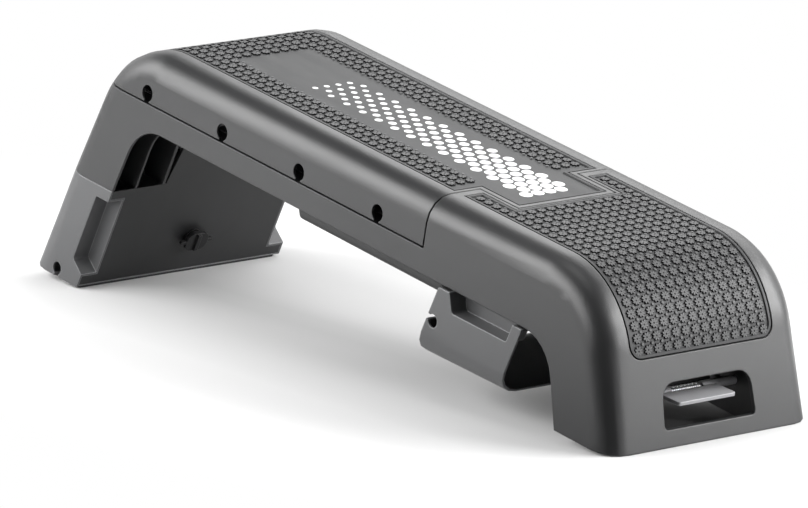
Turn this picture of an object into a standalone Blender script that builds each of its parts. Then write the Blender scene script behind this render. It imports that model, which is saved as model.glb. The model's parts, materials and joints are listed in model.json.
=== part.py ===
"""Multi-position aerobic step: a moulded deck with a lifting back section and a fold-out leg at each end.

The pieces are drawn in the deck's own frame. There x = 0 is the near end's bottom edge, the far end
lies at -DECK_LENGTH, y = 0 is the middle and z = 0 is the plane of the deck's own feet. The deck empty
then tips the whole step on to the unfolded far leg and the near end's moulded foot.
All sizes are in metres.
"""

import math

import bmesh
import bpy
from mathutils import Matrix, Vector

# Deck moulding
DECK_LENGTH = 1.1255
DECK_WIDTH = 0.340
DECK_HEIGHT = 0.2055
END_SLOPE = 0.365
SIDE_DRAFT = 0.043
NOSE_RADIUS = 0.131
EDGE_RADIUS = 0.034
WALL = 0.0035
FOOT_LENGTH = 0.1045
RAIL_UNDERSIDE = 0.105
ARCH_SLOPE = 0.345
ARCH_RADIUS = 0.065
RIB = 0.003
RAIL_INNER_WALL = 0.130
END_RIB = 0.084
FLOOR_WEB_HEIGHT = 0.107
CUT_MARGIN = 0.060

# Back section
SEAM_DISTANCE = 0.395
PARTING_HEIGHT = 0.1385
PARTING_GAP = 0.0026
TONGUE_LENGTH = 0.0745
TONGUE_HALF_WIDTH = 0.079
TONGUE_TIP_GAP = 0.0026
POCKET_DEPTH = 0.034
BAND_SLOT_RADIUS = 0.0110
BAND_SLOT_LIP = 0.0028
BAND_SLOT_NECK = 0.010
BAND_SLOT_HEIGHT = 0.0130
BAND_SLOT_PITCH = 0.162
FIRST_BAND_SLOT = 0.4905
BAND_SLOTS = 4

# Back section hinge
HINGE_FROM_TIP = 0.024
HINGE_BELOW_TOP = 0.0095
HINGE_ROD_RADIUS = 0.003
KNUCKLE_RADIUS = 0.0055
KNUCKLE_WIDTH = 0.016
KNUCKLE_PITCH = 0.034
RUNNING_GAP = 0.0004
SEAT_GAP = 0.0003

# Rubber mats
MAT_HALF_WIDTH = 0.117
MAT_THICKNESS = 0.0020
MAT_PROUD = 0.0
MAT_GAP = 0.0007
SEAT_MAT_LOWER_EDGE = 0.1063
BACK_MAT_LOWER_EDGE = 0.1480
MAT_CORNER = 0.018
TONGUE_RIM = 0.007
SEAT_MAT_START = 0.013
SEAT_MAT_SIDE_RIM = 0.0050
SEAT_MAT_TIP_RIM = 0.0024

# Hand holes in the end walls
HAND_HOLE_BOTTOM = 0.020
HAND_HOLE_TOP = 0.0745
HAND_HOLE_HALF_WIDTH = 0.075
HAND_HOLE_TAPER = 0.003
HAND_HOLE_TOP_RADIUS = 0.020
HAND_HOLE_BOTTOM_RADIUS = 0.006
COLLAR_DEPTH = 0.0025
COLLAR_WALL = 0.0025

# Fold-out legs
LEG_HEIGHT = 0.1535
LEG_INNER_SLOPE = 0.345
LEG_WALL = 0.003
LEG_DRAFT = 0.010
LEG_TOP_GAP = 0.0006
LEG_TOE_RADIUS = 0.009
LEG_HEEL_RADIUS = 0.004
FOLDED_EDGE_GAP = 0.002
FOLDED_EDGE_DISTANCE = 0.1856
GRIP_NOTCH_DEPTH = 0.0265
GRIP_NOTCH_WIDTH = 0.024
GRIP_NOTCH_TOP = 0.017
GRIP_NOTCH_BOTTOM = 0.117
GRIP_NOTCH_RAMP = 0.018
GRIP_NOTCH_CORNER = 0.005
LEG_SLOT_RADIUS = 0.009
LEG_SLOT_NECK = 0.0085
LEG_SLOT_FROM_TOE = 0.062
LEG_SLOT_RISE = 0.0115
PANEL_THICKNESS = 0.003
PANEL_GAP = 0.0004
TONGUE_PLATE_BASE = 0.079
TONGUE_PLATE_TOP = 0.062
EAR_OUTER = 0.064
EAR_THICKNESS = 0.008
EAR_RADIUS = 0.020
LATCH_CLEARANCE = 0.0006
LATCH_TOOTH_HEIGHT = 0.0065
PIVOT_ROD_RADIUS = 0.004
LATCH_NOTCH_WIDTH = 0.0095
LATCH_NOTCH_DEPTH = 0.006

# Rubber feet
STRIP_THICKNESS = 0.0045
STRIP_PROUD = 0.0025
STRIP_HALF_LENGTH = 0.165
STRIP_NOTCH_WIDTH = 0.013
STRIP_NOTCH_DEPTH = 0.016
PAD_LENGTH = 0.056
PAD_WIDTH = 0.030
PAD_PROUD = 0.0012
PAD_THICKNESS = 0.004
PAD_FROM_END = 0.0055
PAD_CORNER = 0.008

# Latch paddles
PADDLE_FRONT = 0.0185
PADDLE_HEIGHT = 0.047
PADDLE_ANGLE = math.radians(-2.2)
PADDLE_REACH = 0.044
PADDLE_THICKNESS = 0.0045
PADDLE_HALF_WIDTH = 0.0465
PADDLE_ROD_RADIUS = 0.003
PADDLE_BARREL_RADIUS = 0.0062
PADDLE_CORNER = 0.003
SPRING_WIRE = 0.0018
SPRING_COIL_RADIUS = 0.0050
SPRING_TURNS = 8
SPRING_PITCH = 0.0062
POINTS_PER_TURN = 9

# Quarter-turn leg knobs
KNOB_FROM_TOP = 0.1020
KNOB_RADIUS = 0.017
KNOB_STEM_RADIUS = 0.009
KNOB_STEM_LENGTH = 0.0083
KNOB_HEAD_THICKNESS = 0.0055
KNOB_HEAD_HALF_LENGTH = 0.0145
KNOB_FLANGE_RADIUS = 0.0125
KNOB_FLANGE_THICKNESS = 0.002
KNOB_WING_HALF_LENGTH = 0.027
KNOB_WING_WIDTH = 0.005
KNOB_SLOT_CLEARANCE = 0.004
KNOB_BAR_HEIGHT = 0.0030
KNOB_BAR_WIDTH = 0.006

# Belly tray
TRAY_NEAR = 0.390
TRAY_FAR = 0.705
TRAY_HALF_WIDTH = 0.124
TRAY_UNDERSIDE = 0.070
TRAY_WALL = 0.0025
TRAY_END_SLOPE = 0.40
TRAY_OPENING_HALF_WIDTH = 0.106
TRAY_FLANGE = 0.0024
TRAY_FLANGE_REACH = 0.010
TRAY_SCREW_HEAD = 0.0038
TRAY_SCREW_SHANK = 0.0018
TRAY_SCREW_SIDE = 0.070

# Back section prop
PROP_WIRE = 0.004
PROP_PIVOT_FROM_HINGE = 0.200
PROP_LENGTH = 0.300
PROP_HALF_WIDTH = 0.116
PROP_WALL_GAP = 0.0095
PROP_HEIGHT = 0.190
PROP_BEND_RADIUS = 0.018
BACK_POSITIONS = (25, 40, 55, 70)
RACK_HEIGHT = 0.014
RACK_NOTCH_DEPTH = 0.009

ARC_STEPS = 6
NOSE_STEPS = 12
ROUND_STEPS = 3
HALF_WIDTH = DECK_WIDTH / 2
PAD_INSET = (END_RIB + RAIL_INNER_WALL) / 2
SLOPE_LENGTH = math.hypot(1.0, END_SLOPE)
LEG_INNER_LENGTH = math.hypot(1.0, LEG_INNER_SLOPE)

# The leg's inner top edge in the end's frame, unfolded and folded, fixes the fold angle and the pivot.
FOLD_ANGLE = math.pi / 2 + math.atan(LEG_INNER_SLOPE)
UNFOLDED_EDGE = Vector((-FOOT_LENGTH, 0.0))
FOLDED_EDGE = Vector((-FOLDED_EDGE_DISTANCE, RAIL_UNDERSIDE - FOLDED_EDGE_GAP))

for old in list(bpy.data.objects):
    bpy.data.objects.remove(old, do_unlink=True)

parts = bpy.data.collections.new("aerobic_step")
cutters = bpy.data.collections.new("cutters")
bpy.context.scene.collection.children.link(parts)
bpy.context.scene.collection.children.link(cutters)


def turned(point, angle):
    """A point of the xz plane turned about +Y."""
    x, z = point
    c, s = math.cos(angle), math.sin(angle)
    return Vector((x * c + z * s, -x * s + z * c))


def fold_pivot():
    """The centre that carries the unfolded edge to the folded one through the fold angle."""
    moved = FOLDED_EDGE - turned(UNFOLDED_EDGE, FOLD_ANGLE)
    c, s = math.cos(FOLD_ANGLE), math.sin(FOLD_ANGLE)
    size = (1 - c) ** 2 + s**2
    x = ((1 - c) * moved.x + s * moved.y) / size
    z = (-s * moved.x + (1 - c) * moved.y) / size
    return Vector((x, z))


PIVOT = fold_pivot()
HINGE = Vector((-SEAM_DISTANCE + TONGUE_LENGTH - HINGE_FROM_TIP, DECK_HEIGHT - HINGE_BELOW_TOP))
TONGUE_TIP = SEAM_DISTANCE - TONGUE_LENGTH


def new_material(name, colour, roughness, metallic=0.0):
    material = bpy.data.materials.new(name)
    material.use_nodes = True
    shader = material.node_tree.nodes["Principled BSDF"]
    shader.inputs["Base Color"].default_value = (*colour, 1.0)
    shader.inputs["Roughness"].default_value = roughness
    shader.inputs["Metallic"].default_value = metallic
    return material


def arc_outline(corners, steps=ARC_STEPS):
    """Closed outline from (a, b, radius) corners, each radius rounded with an arc."""
    points = []
    count = len(corners)
    for i, (a, b, radius) in enumerate(corners):
        here = Vector((a, b))
        if not radius:
            points.append(here)
            continue
        before = (Vector(corners[i - 1][:2]) - here).normalized()
        after = (Vector(corners[(i + 1) % count][:2]) - here).normalized()
        half = before.angle(after) / 2
        reach = radius / math.tan(half)
        centre = here + (before + after).normalized() * (radius / math.sin(half))
        start = here + before * reach - centre
        sweep = math.pi - 2 * half
        turn = 1 if before.x * after.y - before.y * after.x < 0 else -1
        amount = NOSE_STEPS if radius > 0.1 else steps
        for step in range(amount + 1):
            angle = turn * sweep * step / amount
            c, s = math.cos(angle), math.sin(angle)
            points.append(centre + Vector((start.x * c - start.y * s, start.x * s + start.y * c)))
    return points


AXES = {
    "X": Matrix(((0, 0, 1), (1, 0, 0), (0, 1, 0))),
    "Y": Matrix(((1, 0, 0), (0, 0, -1), (0, 1, 0))),
    "Z": Matrix.Identity(3),
}


def link(obj, collection):
    collection.objects.link(obj)
    if collection is cutters:
        obj.hide_render = True
        obj.display_type = "WIRE"
    return obj


def mesh_of(obj, turn_out=True):
    """The object's evaluated mesh, welded. A curve's faces are turned outwards; a Boolean's result keeps its cavities."""
    bpy.context.view_layer.update()
    graph = bpy.context.evaluated_depsgraph_get()
    mesh = bpy.data.meshes.new_from_object(obj.evaluated_get(graph))
    cage = bmesh.new()
    cage.from_mesh(mesh)
    bmesh.ops.remove_doubles(cage, verts=cage.verts, dist=1e-6)
    if turn_out:
        bmesh.ops.recalc_face_normals(cage, faces=cage.faces)
    cage.to_mesh(mesh)
    cage.free()
    return mesh


def prism(name, outline, low, high, axis="Y", rounding=0.0, collection=None):
    """A flat outline square to the axis, extruded from low to high, with its rim rounded."""
    curve = bpy.data.curves.new(name, "CURVE")
    curve.dimensions = "2D"
    curve.fill_mode = "BOTH"
    spline = curve.splines.new("POLY")
    spline.points.add(len(outline) - 1)
    for point, (a, b) in zip(spline.points, outline):
        point.co = (a, b, 0.0, 1.0)
    spline.use_cyclic_u = True
    curve.extrude = (high - low) / 2 - rounding
    curve.bevel_depth = rounding
    curve.bevel_resolution = ROUND_STEPS
    curve.offset = -rounding
    drawn = bpy.data.objects.new(name, curve)
    bpy.context.scene.collection.objects.link(drawn)
    mesh = mesh_of(drawn)
    bpy.data.objects.remove(drawn, do_unlink=True)
    bpy.data.curves.remove(curve)
    middle = {"X": ((high + low) / 2, 0, 0), "Y": (0, (high + low) / 2, 0), "Z": (0, 0, (high + low) / 2)}
    mesh.transform(Matrix.Translation(middle[axis]) @ AXES[axis].to_4x4())
    mesh.name = name
    return link(bpy.data.objects.new(name, mesh), cutters if collection is None else collection)


def box(name, low, high, collection=None):
    """A block between two corners, from the cube primitive."""
    cage = bmesh.new()
    bmesh.ops.create_cube(cage, size=1.0)
    low, high = Vector(low), Vector(high)
    bmesh.ops.scale(cage, vec=high - low, verts=cage.verts)
    bmesh.ops.translate(cage, vec=(high + low) / 2, verts=cage.verts)
    mesh = bpy.data.meshes.new(name)
    cage.to_mesh(mesh)
    cage.free()
    return link(bpy.data.objects.new(name, mesh), cutters if collection is None else collection)


def rod(name, radius, start, end, collection=None, sides=20):
    """A round bar between two points."""
    start, end = Vector(start), Vector(end)
    cage = bmesh.new()
    bmesh.ops.create_cone(
        cage, cap_ends=True, segments=sides, radius1=radius, radius2=radius, depth=(end - start).length
    )
    mesh = bpy.data.meshes.new(name)
    cage.to_mesh(mesh)
    cage.free()
    turn = Vector((0, 0, 1)).rotation_difference(end - start).to_matrix().to_4x4()
    mesh.transform(Matrix.Translation((start + end) / 2) @ turn)
    return link(bpy.data.objects.new(name, mesh), cutters if collection is None else collection)


# These mouldings' ribs share planes with each other, where the EXACT solver leaves open edges.
RIBBED = ("chassis_form", "ribs", "backrest_form", "back_ribs", "leg_panel")


def apply(target, tool, operation):
    """Cuts, joins or keeps the shared volume, and leaves the result as a plain mesh."""
    modifier = target.modifiers.new(tool.name, "BOOLEAN")
    modifier.operation = operation
    modifier.object = tool
    if target.name in RIBBED:
        modifier.solver = "MANIFOLD"
    mesh = mesh_of(target, turn_out=False)
    target.modifiers.clear()
    target.data = mesh
    return target


def cut(target, *tools):
    for tool in tools:
        apply(target, tool, "DIFFERENCE")
    return target


def join(target, *tools):
    for tool in tools:
        apply(target, tool, "UNION")
    return target


def common(target, *tools):
    for tool in tools:
        apply(target, tool, "INTERSECT")
    return target


def tapered(obj, draft):
    """Draws the sides in towards the top by the draft."""
    for vertex in obj.data.vertices:
        vertex.co.y *= 1 - draft * vertex.co.z / HALF_WIDTH
    return obj


def hull(name, inset=0.0):
    """The deck's outer form, moved inwards by the inset and left long below the feet."""
    end = inset * SLOPE_LENGTH
    low, top = -CUT_MARGIN, DECK_HEIGHT - inset
    outline = arc_outline(
        [
            (-END_SLOPE * low - end, low, 0),
            (-END_SLOPE * top - end, top, NOSE_RADIUS - inset),
            (-DECK_LENGTH + END_SLOPE * top + end, top, NOSE_RADIUS - inset),
            (-DECK_LENGTH + END_SLOPE * low + end, low, 0),
        ]
    )
    half = HALF_WIDTH - inset
    return tapered(prism(name, outline, -half, half, "Y", EDGE_RADIUS - inset), SIDE_DRAFT)


def profile_band(name, proud, depth, half_width):
    """A skin that follows the deck's side profile, from proud of it to depth below it."""
    skins = []
    for offset in (-proud, depth):
        end = offset * SLOPE_LENGTH
        top = DECK_HEIGHT - offset
        outline = arc_outline(
            [
                (-end, 0, 0),
                (-END_SLOPE * top - end, top, NOSE_RADIUS - offset),
                (-DECK_LENGTH + END_SLOPE * top + end, top, NOSE_RADIUS - offset),
                (-DECK_LENGTH + end, 0, 0),
            ]
        )
        skins.append(prism(name, outline, -half_width - len(skins) * 0.01, half_width + len(skins) * 0.01))
    return cut(skins[0], skins[1])


def arch_cutter():
    """The opening under the deck, between the two moulded feet."""
    low = -CUT_MARGIN
    outline = arc_outline(
        [
            (-FOOT_LENGTH - ARCH_SLOPE * low, low, 0),
            (-FOOT_LENGTH - ARCH_SLOPE * RAIL_UNDERSIDE, RAIL_UNDERSIDE, ARCH_RADIUS),
            (-DECK_LENGTH + FOOT_LENGTH + ARCH_SLOPE * RAIL_UNDERSIDE, RAIL_UNDERSIDE, ARCH_RADIUS),
            (-DECK_LENGTH + FOOT_LENGTH + ARCH_SLOPE * low, low, 0),
        ]
    )
    return prism("arch_opening", outline, -HALF_WIDTH - CUT_MARGIN, HALF_WIDTH + CUT_MARGIN)


def back_block(name, shrink):
    """The space of the back section with its tongue, drawn in by shrink on its parting faces."""
    beyond = DECK_LENGTH + CUT_MARGIN
    block = box(
        name,
        (-beyond, -HALF_WIDTH - CUT_MARGIN, PARTING_HEIGHT + shrink),
        (-SEAM_DISTANCE - shrink, HALF_WIDTH + CUT_MARGIN, DECK_HEIGHT + CUT_MARGIN),
    )
    return block


def hand_hole(name, grow, start, end):
    outline = arc_outline(
        [
            (-HAND_HOLE_HALF_WIDTH - grow, HAND_HOLE_BOTTOM - grow, HAND_HOLE_BOTTOM_RADIUS + grow),
            (HAND_HOLE_HALF_WIDTH + grow, HAND_HOLE_BOTTOM - grow, HAND_HOLE_BOTTOM_RADIUS + grow),
            (
                HAND_HOLE_HALF_WIDTH - HAND_HOLE_TAPER + grow,
                HAND_HOLE_TOP + grow,
                HAND_HOLE_TOP_RADIUS + grow,
            ),
            (
                -HAND_HOLE_HALF_WIDTH + HAND_HOLE_TAPER - grow,
                HAND_HOLE_TOP + grow,
                HAND_HOLE_TOP_RADIUS + grow,
            ),
        ],
        4,
    )
    return prism(name, outline, start, end, "X")


def end_slab(name, near_depth, far_depth, low, high, half_width):
    """A leaning slab that follows the end wall between two depths behind its outer face."""
    outline = [
        Vector((-END_SLOPE * low - near_depth, low)),
        Vector((-END_SLOPE * high - near_depth, high)),
        Vector((-END_SLOPE * high - far_depth, high)),
        Vector((-END_SLOPE * low - far_depth, low)),
    ]
    return prism(name, outline, -half_width, half_width)


TO_FAR_END = Matrix.Translation((-DECK_LENGTH, 0, 0)) @ Matrix.Rotation(math.pi, 4, "Z")


def far_copy(obj):
    """The same form at the far end, turned to face outwards."""
    mesh = obj.data.copy()
    mesh.transform(TO_FAR_END)
    return link(bpy.data.objects.new("far_" + obj.name, mesh), cutters)


def both_ends(obj):
    return obj, far_copy(obj)


def mat_region(name, low_edge, start, stop, grow):
    """The plan of a mat seen from the end: straight sides and two rounded lower corners."""
    half = MAT_HALF_WIDTH + grow
    outline = arc_outline(
        [
            (-half, low_edge - grow, MAT_CORNER),
            (half, low_edge - grow, MAT_CORNER),
            (half, DECK_HEIGHT + 0.02, 0),
            (-half, DECK_HEIGHT + 0.02, 0),
        ]
    )
    return prism(name, outline, start, stop, "X")


def seat_mat_form(name, grow, depth, proud):
    """The seat's mat, or its seat in the deck when grown."""
    form = profile_band(name, proud, depth, MAT_HALF_WIDTH + grow)
    common(form, mat_region(name + "_plan", SEAT_MAT_LOWER_EDGE, -SEAM_DISTANCE + SEAT_MAT_START - grow, 0.02, grow))
    side = TONGUE_HALF_WIDTH + PARTING_GAP + SEAT_MAT_SIDE_RIM - grow
    front = -TONGUE_TIP + TONGUE_TIP_GAP + SEAT_MAT_TIP_RIM - grow
    notch = box(name + "_notch", (-SEAM_DISTANCE - 0.05, -side, 0.1), (front, side, DECK_HEIGHT + 0.05))
    return cut(form, notch)


def back_mat_form(name, grow, depth, proud):
    """The back section's mat with its tongue, or its seat in the shell when grown."""
    form = profile_band(name, proud, depth, MAT_HALF_WIDTH + grow)
    start = -DECK_LENGTH - 0.02
    plan = mat_region(name + "_plan", BACK_MAT_LOWER_EDGE, start, -SEAM_DISTANCE - TONGUE_RIM + grow, grow)
    side = TONGUE_HALF_WIDTH - TONGUE_RIM + grow
    tip = -TONGUE_TIP - TONGUE_RIM + grow
    tongue = box(name + "_tongue", (-SEAM_DISTANCE - 0.06, -side, 0.15), (tip, side, DECK_HEIGHT + 0.015))
    return common(form, join(plan, tongue))


def knuckles(name, first, last, step, radius, low, high):
    """Hinge barrels on the back section's hinge line, each on its own foot between low and high."""
    made = []
    for index in range(first, last + 1, step):
        middle = index * KNUCKLE_PITCH / 2
        ends = (middle - KNUCKLE_WIDTH / 2, middle + KNUCKLE_WIDTH / 2)
        barrel = rod(name, radius, (HINGE.x, ends[0], HINGE.y), (HINGE.x, ends[1], HINGE.y))
        foot = box(name + "_foot", (HINGE.x - radius, ends[0], low), (HINGE.x + radius, ends[1], high))
        made.append(join(barrel, foot))
    return made


def web_slot_x():
    """Where a folded leg's knob passes the floor web, from the end."""
    return -FOLDED_EDGE_DISTANCE - KNOB_FROM_TOP


def paddle_rod_centre():
    return Vector(
        (
            -PADDLE_FRONT - PADDLE_REACH * math.cos(PADDLE_ANGLE),
            PADDLE_HEIGHT + PADDLE_REACH * math.sin(PADDLE_ANGLE),
        )
    )


PADDLE_ROD = paddle_rod_centre()
WEB_END = FOOT_LENGTH + END_SLOPE * RAIL_UNDERSIDE + ARCH_RADIUS * 0.8
SHELF_HEIGHT = PAD_THICKNESS - PAD_PROUD + 0.0003


def chassis_ribs():
    """The inner walls, ledges and web of the deck moulding, clipped to its inside."""
    low, top = -CUT_MARGIN, DECK_HEIGHT
    far = -DECK_LENGTH - CUT_MARGIN
    ribs = box("ribs", (-DECK_LENGTH + WEB_END, -RAIL_INNER_WALL, FLOOR_WEB_HEIGHT),
               (-WEB_END, RAIL_INNER_WALL, FLOOR_WEB_HEIGHT + RIB))
    pieces = []
    for side in (-1, 1):
        wall = sorted((side * (RAIL_INNER_WALL - RIB / 2), side * (RAIL_INNER_WALL + RIB / 2)))
        pieces.append(box("rail_wall", (far, wall[0], low), (CUT_MARGIN, wall[1], top)))
        ledge = sorted((side * RAIL_INNER_WALL, side * HALF_WIDTH))
        pieces.append(
            box("ledge", (far, ledge[0], PARTING_HEIGHT - 2 * RIB), (-SEAM_DISTANCE + RIB, ledge[1], PARTING_HEIGHT - RIB))
        )
        rib = sorted((side * (END_RIB - 0.002), side * (END_RIB + 0.002)))
        shelf = sorted((side * END_RIB, side * RAIL_INNER_WALL))
        end_pieces = (
            box("end_rib", (-FOOT_LENGTH - 0.10, rib[0], low), (CUT_MARGIN, rib[1], top)),
            box("pad_shelf", (-PAD_FROM_END - PAD_LENGTH - 0.004, shelf[0], SHELF_HEIGHT),
                (0.01, shelf[1], SHELF_HEIGHT + RIB)),
        )
        for piece in end_pieces:
            pieces.extend(both_ends(piece))
    seam_face = -SEAM_DISTANCE + PARTING_GAP / 2
    bulkhead = box("bulkhead", (seam_face - 0.002, -HALF_WIDTH, FLOOR_WEB_HEIGHT + 0.001), (seam_face + RIB, HALF_WIDTH, top))
    cut(bulkhead, box("window", (-1, -0.06, 0.118), (0, 0.06, 0.162)))
    pieces.append(bulkhead)
    for back in (0.225, 0.290):
        pieces.append(box("seat_rib", (-back - RIB, -HALF_WIDTH, 0.165), (-back, HALF_WIDTH, top)))
    join(ribs, *pieces)
    return common(ribs, hull("rib_limit", WALL - 0.001))


def rack_notch(angle):
    """x of the prop's foot on the rack with the back section raised to an angle, as the closed linkage has it."""
    turn = math.radians(angle)
    pin = HINGE + turned(Vector((-PROP_PIVOT_FROM_HINGE, PROP_HEIGHT - HINGE.y)), turn)
    foot = FLOOR_WEB_HEIGHT + RIB + RACK_HEIGHT - RACK_NOTCH_DEPTH + PROP_WIRE
    drop = pin.y - foot
    return pin.x - math.sqrt(PROP_LENGTH**2 - drop**2)


def rack(side):
    """A toothed strip on the floor web that takes the prop's foot."""
    inner, outer = TRAY_OPENING_HALF_WIDTH + 0.002, RAIL_INNER_WALL - 0.001
    ends = sorted((side * inner, side * outer))
    base = FLOOR_WEB_HEIGHT + RIB
    height = base + RACK_HEIGHT
    places = [rack_notch(angle) for angle in BACK_POSITIONS]
    strip = box("rack", (min(places) - 0.016, ends[0], base - 0.001), (max(places) + 0.022, ends[1], height))
    for x in places:
        outline = [
            Vector((x - PROP_WIRE * 1.4, height + 0.001)),
            Vector((x - PROP_WIRE * 1.4, height - RACK_NOTCH_DEPTH)),
            Vector((x + PROP_WIRE * 1.1, height - RACK_NOTCH_DEPTH)),
            Vector((x + PROP_WIRE * 4.0, height + 0.001)),
        ]
        cut(strip, prism("rack_notch", outline, ends[0] - 0.01, ends[1] + 0.01))
    return strip


def tongue_pocket(grow, low, name):
    half = TONGUE_HALF_WIDTH + PARTING_GAP + grow
    return box(
        name,
        (-SEAM_DISTANCE - 0.02, -half, low),
        (-TONGUE_TIP + TONGUE_TIP_GAP + grow, half, DECK_HEIGHT + 0.02),
    )


def make_chassis():
    chassis = hull("chassis_form")
    cut(chassis, hull("inside", WALL))
    ribs = chassis_ribs()
    pocket = tongue_pocket(RIB, DECK_HEIGHT - POCKET_DEPTH - RIB, "pocket_walls")
    join(ribs, common(pocket, hull("pocket_limit", WALL - 0.001)))
    join(chassis, ribs, rack(-1), rack(1))
    collar = end_slab("collar", WALL - 0.001, WALL + COLLAR_DEPTH, 0.0, 2 * HAND_HOLE_TOP, HAND_HOLE_HALF_WIDTH + COLLAR_DEPTH)
    common(collar, hand_hole("collar_form", COLLAR_WALL, -FOOT_LENGTH, FOOT_LENGTH))
    join(chassis, *both_ends(collar))
    below = box("below", (-2, -1, -CUT_MARGIN * 2), (1, 1, 0))
    cut(chassis, below, arch_cutter(), back_block("back_space", -PARTING_GAP / 2))
    cut(chassis, tongue_pocket(0.0, DECK_HEIGHT - POCKET_DEPTH, "pocket"))
    join(chassis, *knuckles("lug", -3, 3, 2, KNUCKLE_RADIUS, DECK_HEIGHT - POCKET_DEPTH - 0.001, HINGE.y))
    cut(chassis, *both_ends(hand_hole("hand_hole", 0.0, -FOOT_LENGTH, FOOT_LENGTH)))
    hole = HINGE_ROD_RADIUS + RUNNING_GAP
    cut(chassis, rod("hinge_hole", hole, (HINGE.x, -0.07, HINGE.y), (HINGE.x, 0.07, HINGE.y)))
    for centre, radius in ((PIVOT, PIVOT_ROD_RADIUS), (PADDLE_ROD, PADDLE_ROD_RADIUS)):
        ends = [(centre.x, side * (END_RIB + 5 * RIB), centre.y) for side in (-1, 1)]
        cut(chassis, *both_ends(rod("rod_hole", radius + RUNNING_GAP, *ends)))
    reach = KNOB_RADIUS + KNOB_SLOT_CLEARANCE
    wide = KNOB_WING_HALF_LENGTH + KNOB_SLOT_CLEARANCE
    under, over = FLOOR_WEB_HEIGHT - 2 * RIB, FLOOR_WEB_HEIGHT + 3 * RIB
    slot = box("knob_slot", (web_slot_x() - reach, -wide, under), (web_slot_x() + reach, wide, over))
    cut(chassis, *both_ends(slot))
    opening = box("tray_opening", (-TRAY_FAR + 3 * RIB, -TRAY_OPENING_HALF_WIDTH, under),
                  (-TRAY_NEAR - 3 * RIB, TRAY_OPENING_HALF_WIDTH, over))
    cut(chassis, opening)
    for x, y in tray_screw_places():
        cut(chassis, rod("screw_hole", TRAY_SCREW_SHANK + RUNNING_GAP, (x, y, under), (x, y, over), sides=12))
    cut(chassis, seat_mat_form("seat_mat_seat", MAT_GAP, MAT_THICKNESS - MAT_PROUD + 0.0003, 0.01))
    return chassis


def tray_screw_places():
    near, far = -TRAY_NEAR + 0.005, -TRAY_FAR - 0.005
    return [(x, y) for x in (near, far) for y in (-TRAY_SCREW_SIDE, TRAY_SCREW_SIDE)]


def band_slot(radius, neck, x, z, start, end, floor=-2 * WALL):
    """A round hole with a short neck below it, cut through a side wall from start to end."""
    hole = rod("band_hole", radius, (x, start, z), (x, end, z), sides=24)
    sides = sorted((start, end))
    return join(hole, box("band_neck", (x - neck / 2, sides[0], PARTING_HEIGHT + floor), (x + neck / 2, sides[1], z)))


def slot_lip(x, z, side, half):
    """The bevelled rim round a band slot's hole."""
    depth = BAND_SLOT_LIP
    cage = bmesh.new()
    bmesh.ops.create_cone(
        cage, cap_ends=True, segments=24, radius1=BAND_SLOT_RADIUS - depth, radius2=BAND_SLOT_RADIUS + depth, depth=2 * depth
    )
    mesh = bpy.data.meshes.new("slot_lip")
    cage.to_mesh(mesh)
    cage.free()
    mesh.transform(Matrix.Translation((x, side * half, z)) @ Matrix.Rotation(-side * math.pi / 2, 4, "X"))
    return link(bpy.data.objects.new("slot_lip", mesh), cutters)


def make_back_section():
    shell = hull("backrest_form")
    block = back_block("back_form", PARTING_GAP / 2)
    tongue = box("tongue_form", (-SEAM_DISTANCE - 0.01, -TONGUE_HALF_WIDTH, 0.15), (-TONGUE_TIP, TONGUE_HALF_WIDTH, DECK_HEIGHT + 0.02))
    common(shell, join(block, tongue))
    cut(shell, hull("back_inside", WALL))
    top = DECK_HEIGHT
    seam = -SEAM_DISTANCE - PARTING_GAP / 2
    ribs = box("back_ribs", (seam - RIB, -HALF_WIDTH, PARTING_HEIGHT + 0.002), (seam, HALF_WIDTH, top))
    prop_x = HINGE.x - PROP_PIVOT_FROM_HINGE
    for side in (-1, 1):
        inner = PROP_HALF_WIDTH + PROP_WALL_GAP
        wall = sorted((side * inner, side * (inner + RIB)))
        join(ribs, box("back_wall", (-DECK_LENGTH + 0.10, wall[0], PROP_HEIGHT - 0.010), (seam - 0.001, wall[1], top)))
    for share in (0.089, 0.308, 0.4175, 0.527, 0.719):
        x = SEAM_DISTANCE + share * (DECK_LENGTH - SEAM_DISTANCE)
        join(ribs, box("back_cross_rib", (-x - RIB, -HALF_WIDTH, PROP_HEIGHT + 0.006), (-x, HALF_WIDTH, top)))
    join(shell, common(ribs, hull("back_rib_limit", WALL - 0.001)))
    join(shell, *knuckles("knuckle", -2, 2, 2, KNUCKLE_RADIUS, HINGE.y, DECK_HEIGHT - WALL + 0.001))
    hole = HINGE_ROD_RADIUS + RUNNING_GAP
    cut(shell, rod("knuckle_hole", hole, (HINGE.x, -0.07, HINGE.y), (HINGE.x, 0.07, HINGE.y)))
    pivot = PROP_WIRE + RUNNING_GAP
    for side in (-1, 1):
        ends = [(prop_x, side * (inner + reach), PROP_HEIGHT) for reach in (-0.01, 0.02)]
        cut(shell, rod("prop_hole", pivot, *ends))
        for index in range(BAND_SLOTS):
            x = -FIRST_BAND_SLOT - index * BAND_SLOT_PITCH
            z = PARTING_HEIGHT + BAND_SLOT_HEIGHT
            half = HALF_WIDTH - SIDE_DRAFT * z
            hole = band_slot(BAND_SLOT_RADIUS, BAND_SLOT_NECK, x, z, side * (half - 6 * WALL), side * (half + 6 * WALL))
            cut(shell, hole, slot_lip(x, z, side, half))
    cut(shell, back_mat_form("back_mat_seat", MAT_GAP, MAT_THICKNESS - MAT_PROUD + 0.0003, 0.01))
    return shell


def leg_inner(z, depth=0.0):
    """x of the leg's inner face at a height, moved into the leg by a depth."""
    return -FOOT_LENGTH - LEG_INNER_SLOPE * z + depth * LEG_INNER_LENGTH


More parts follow.
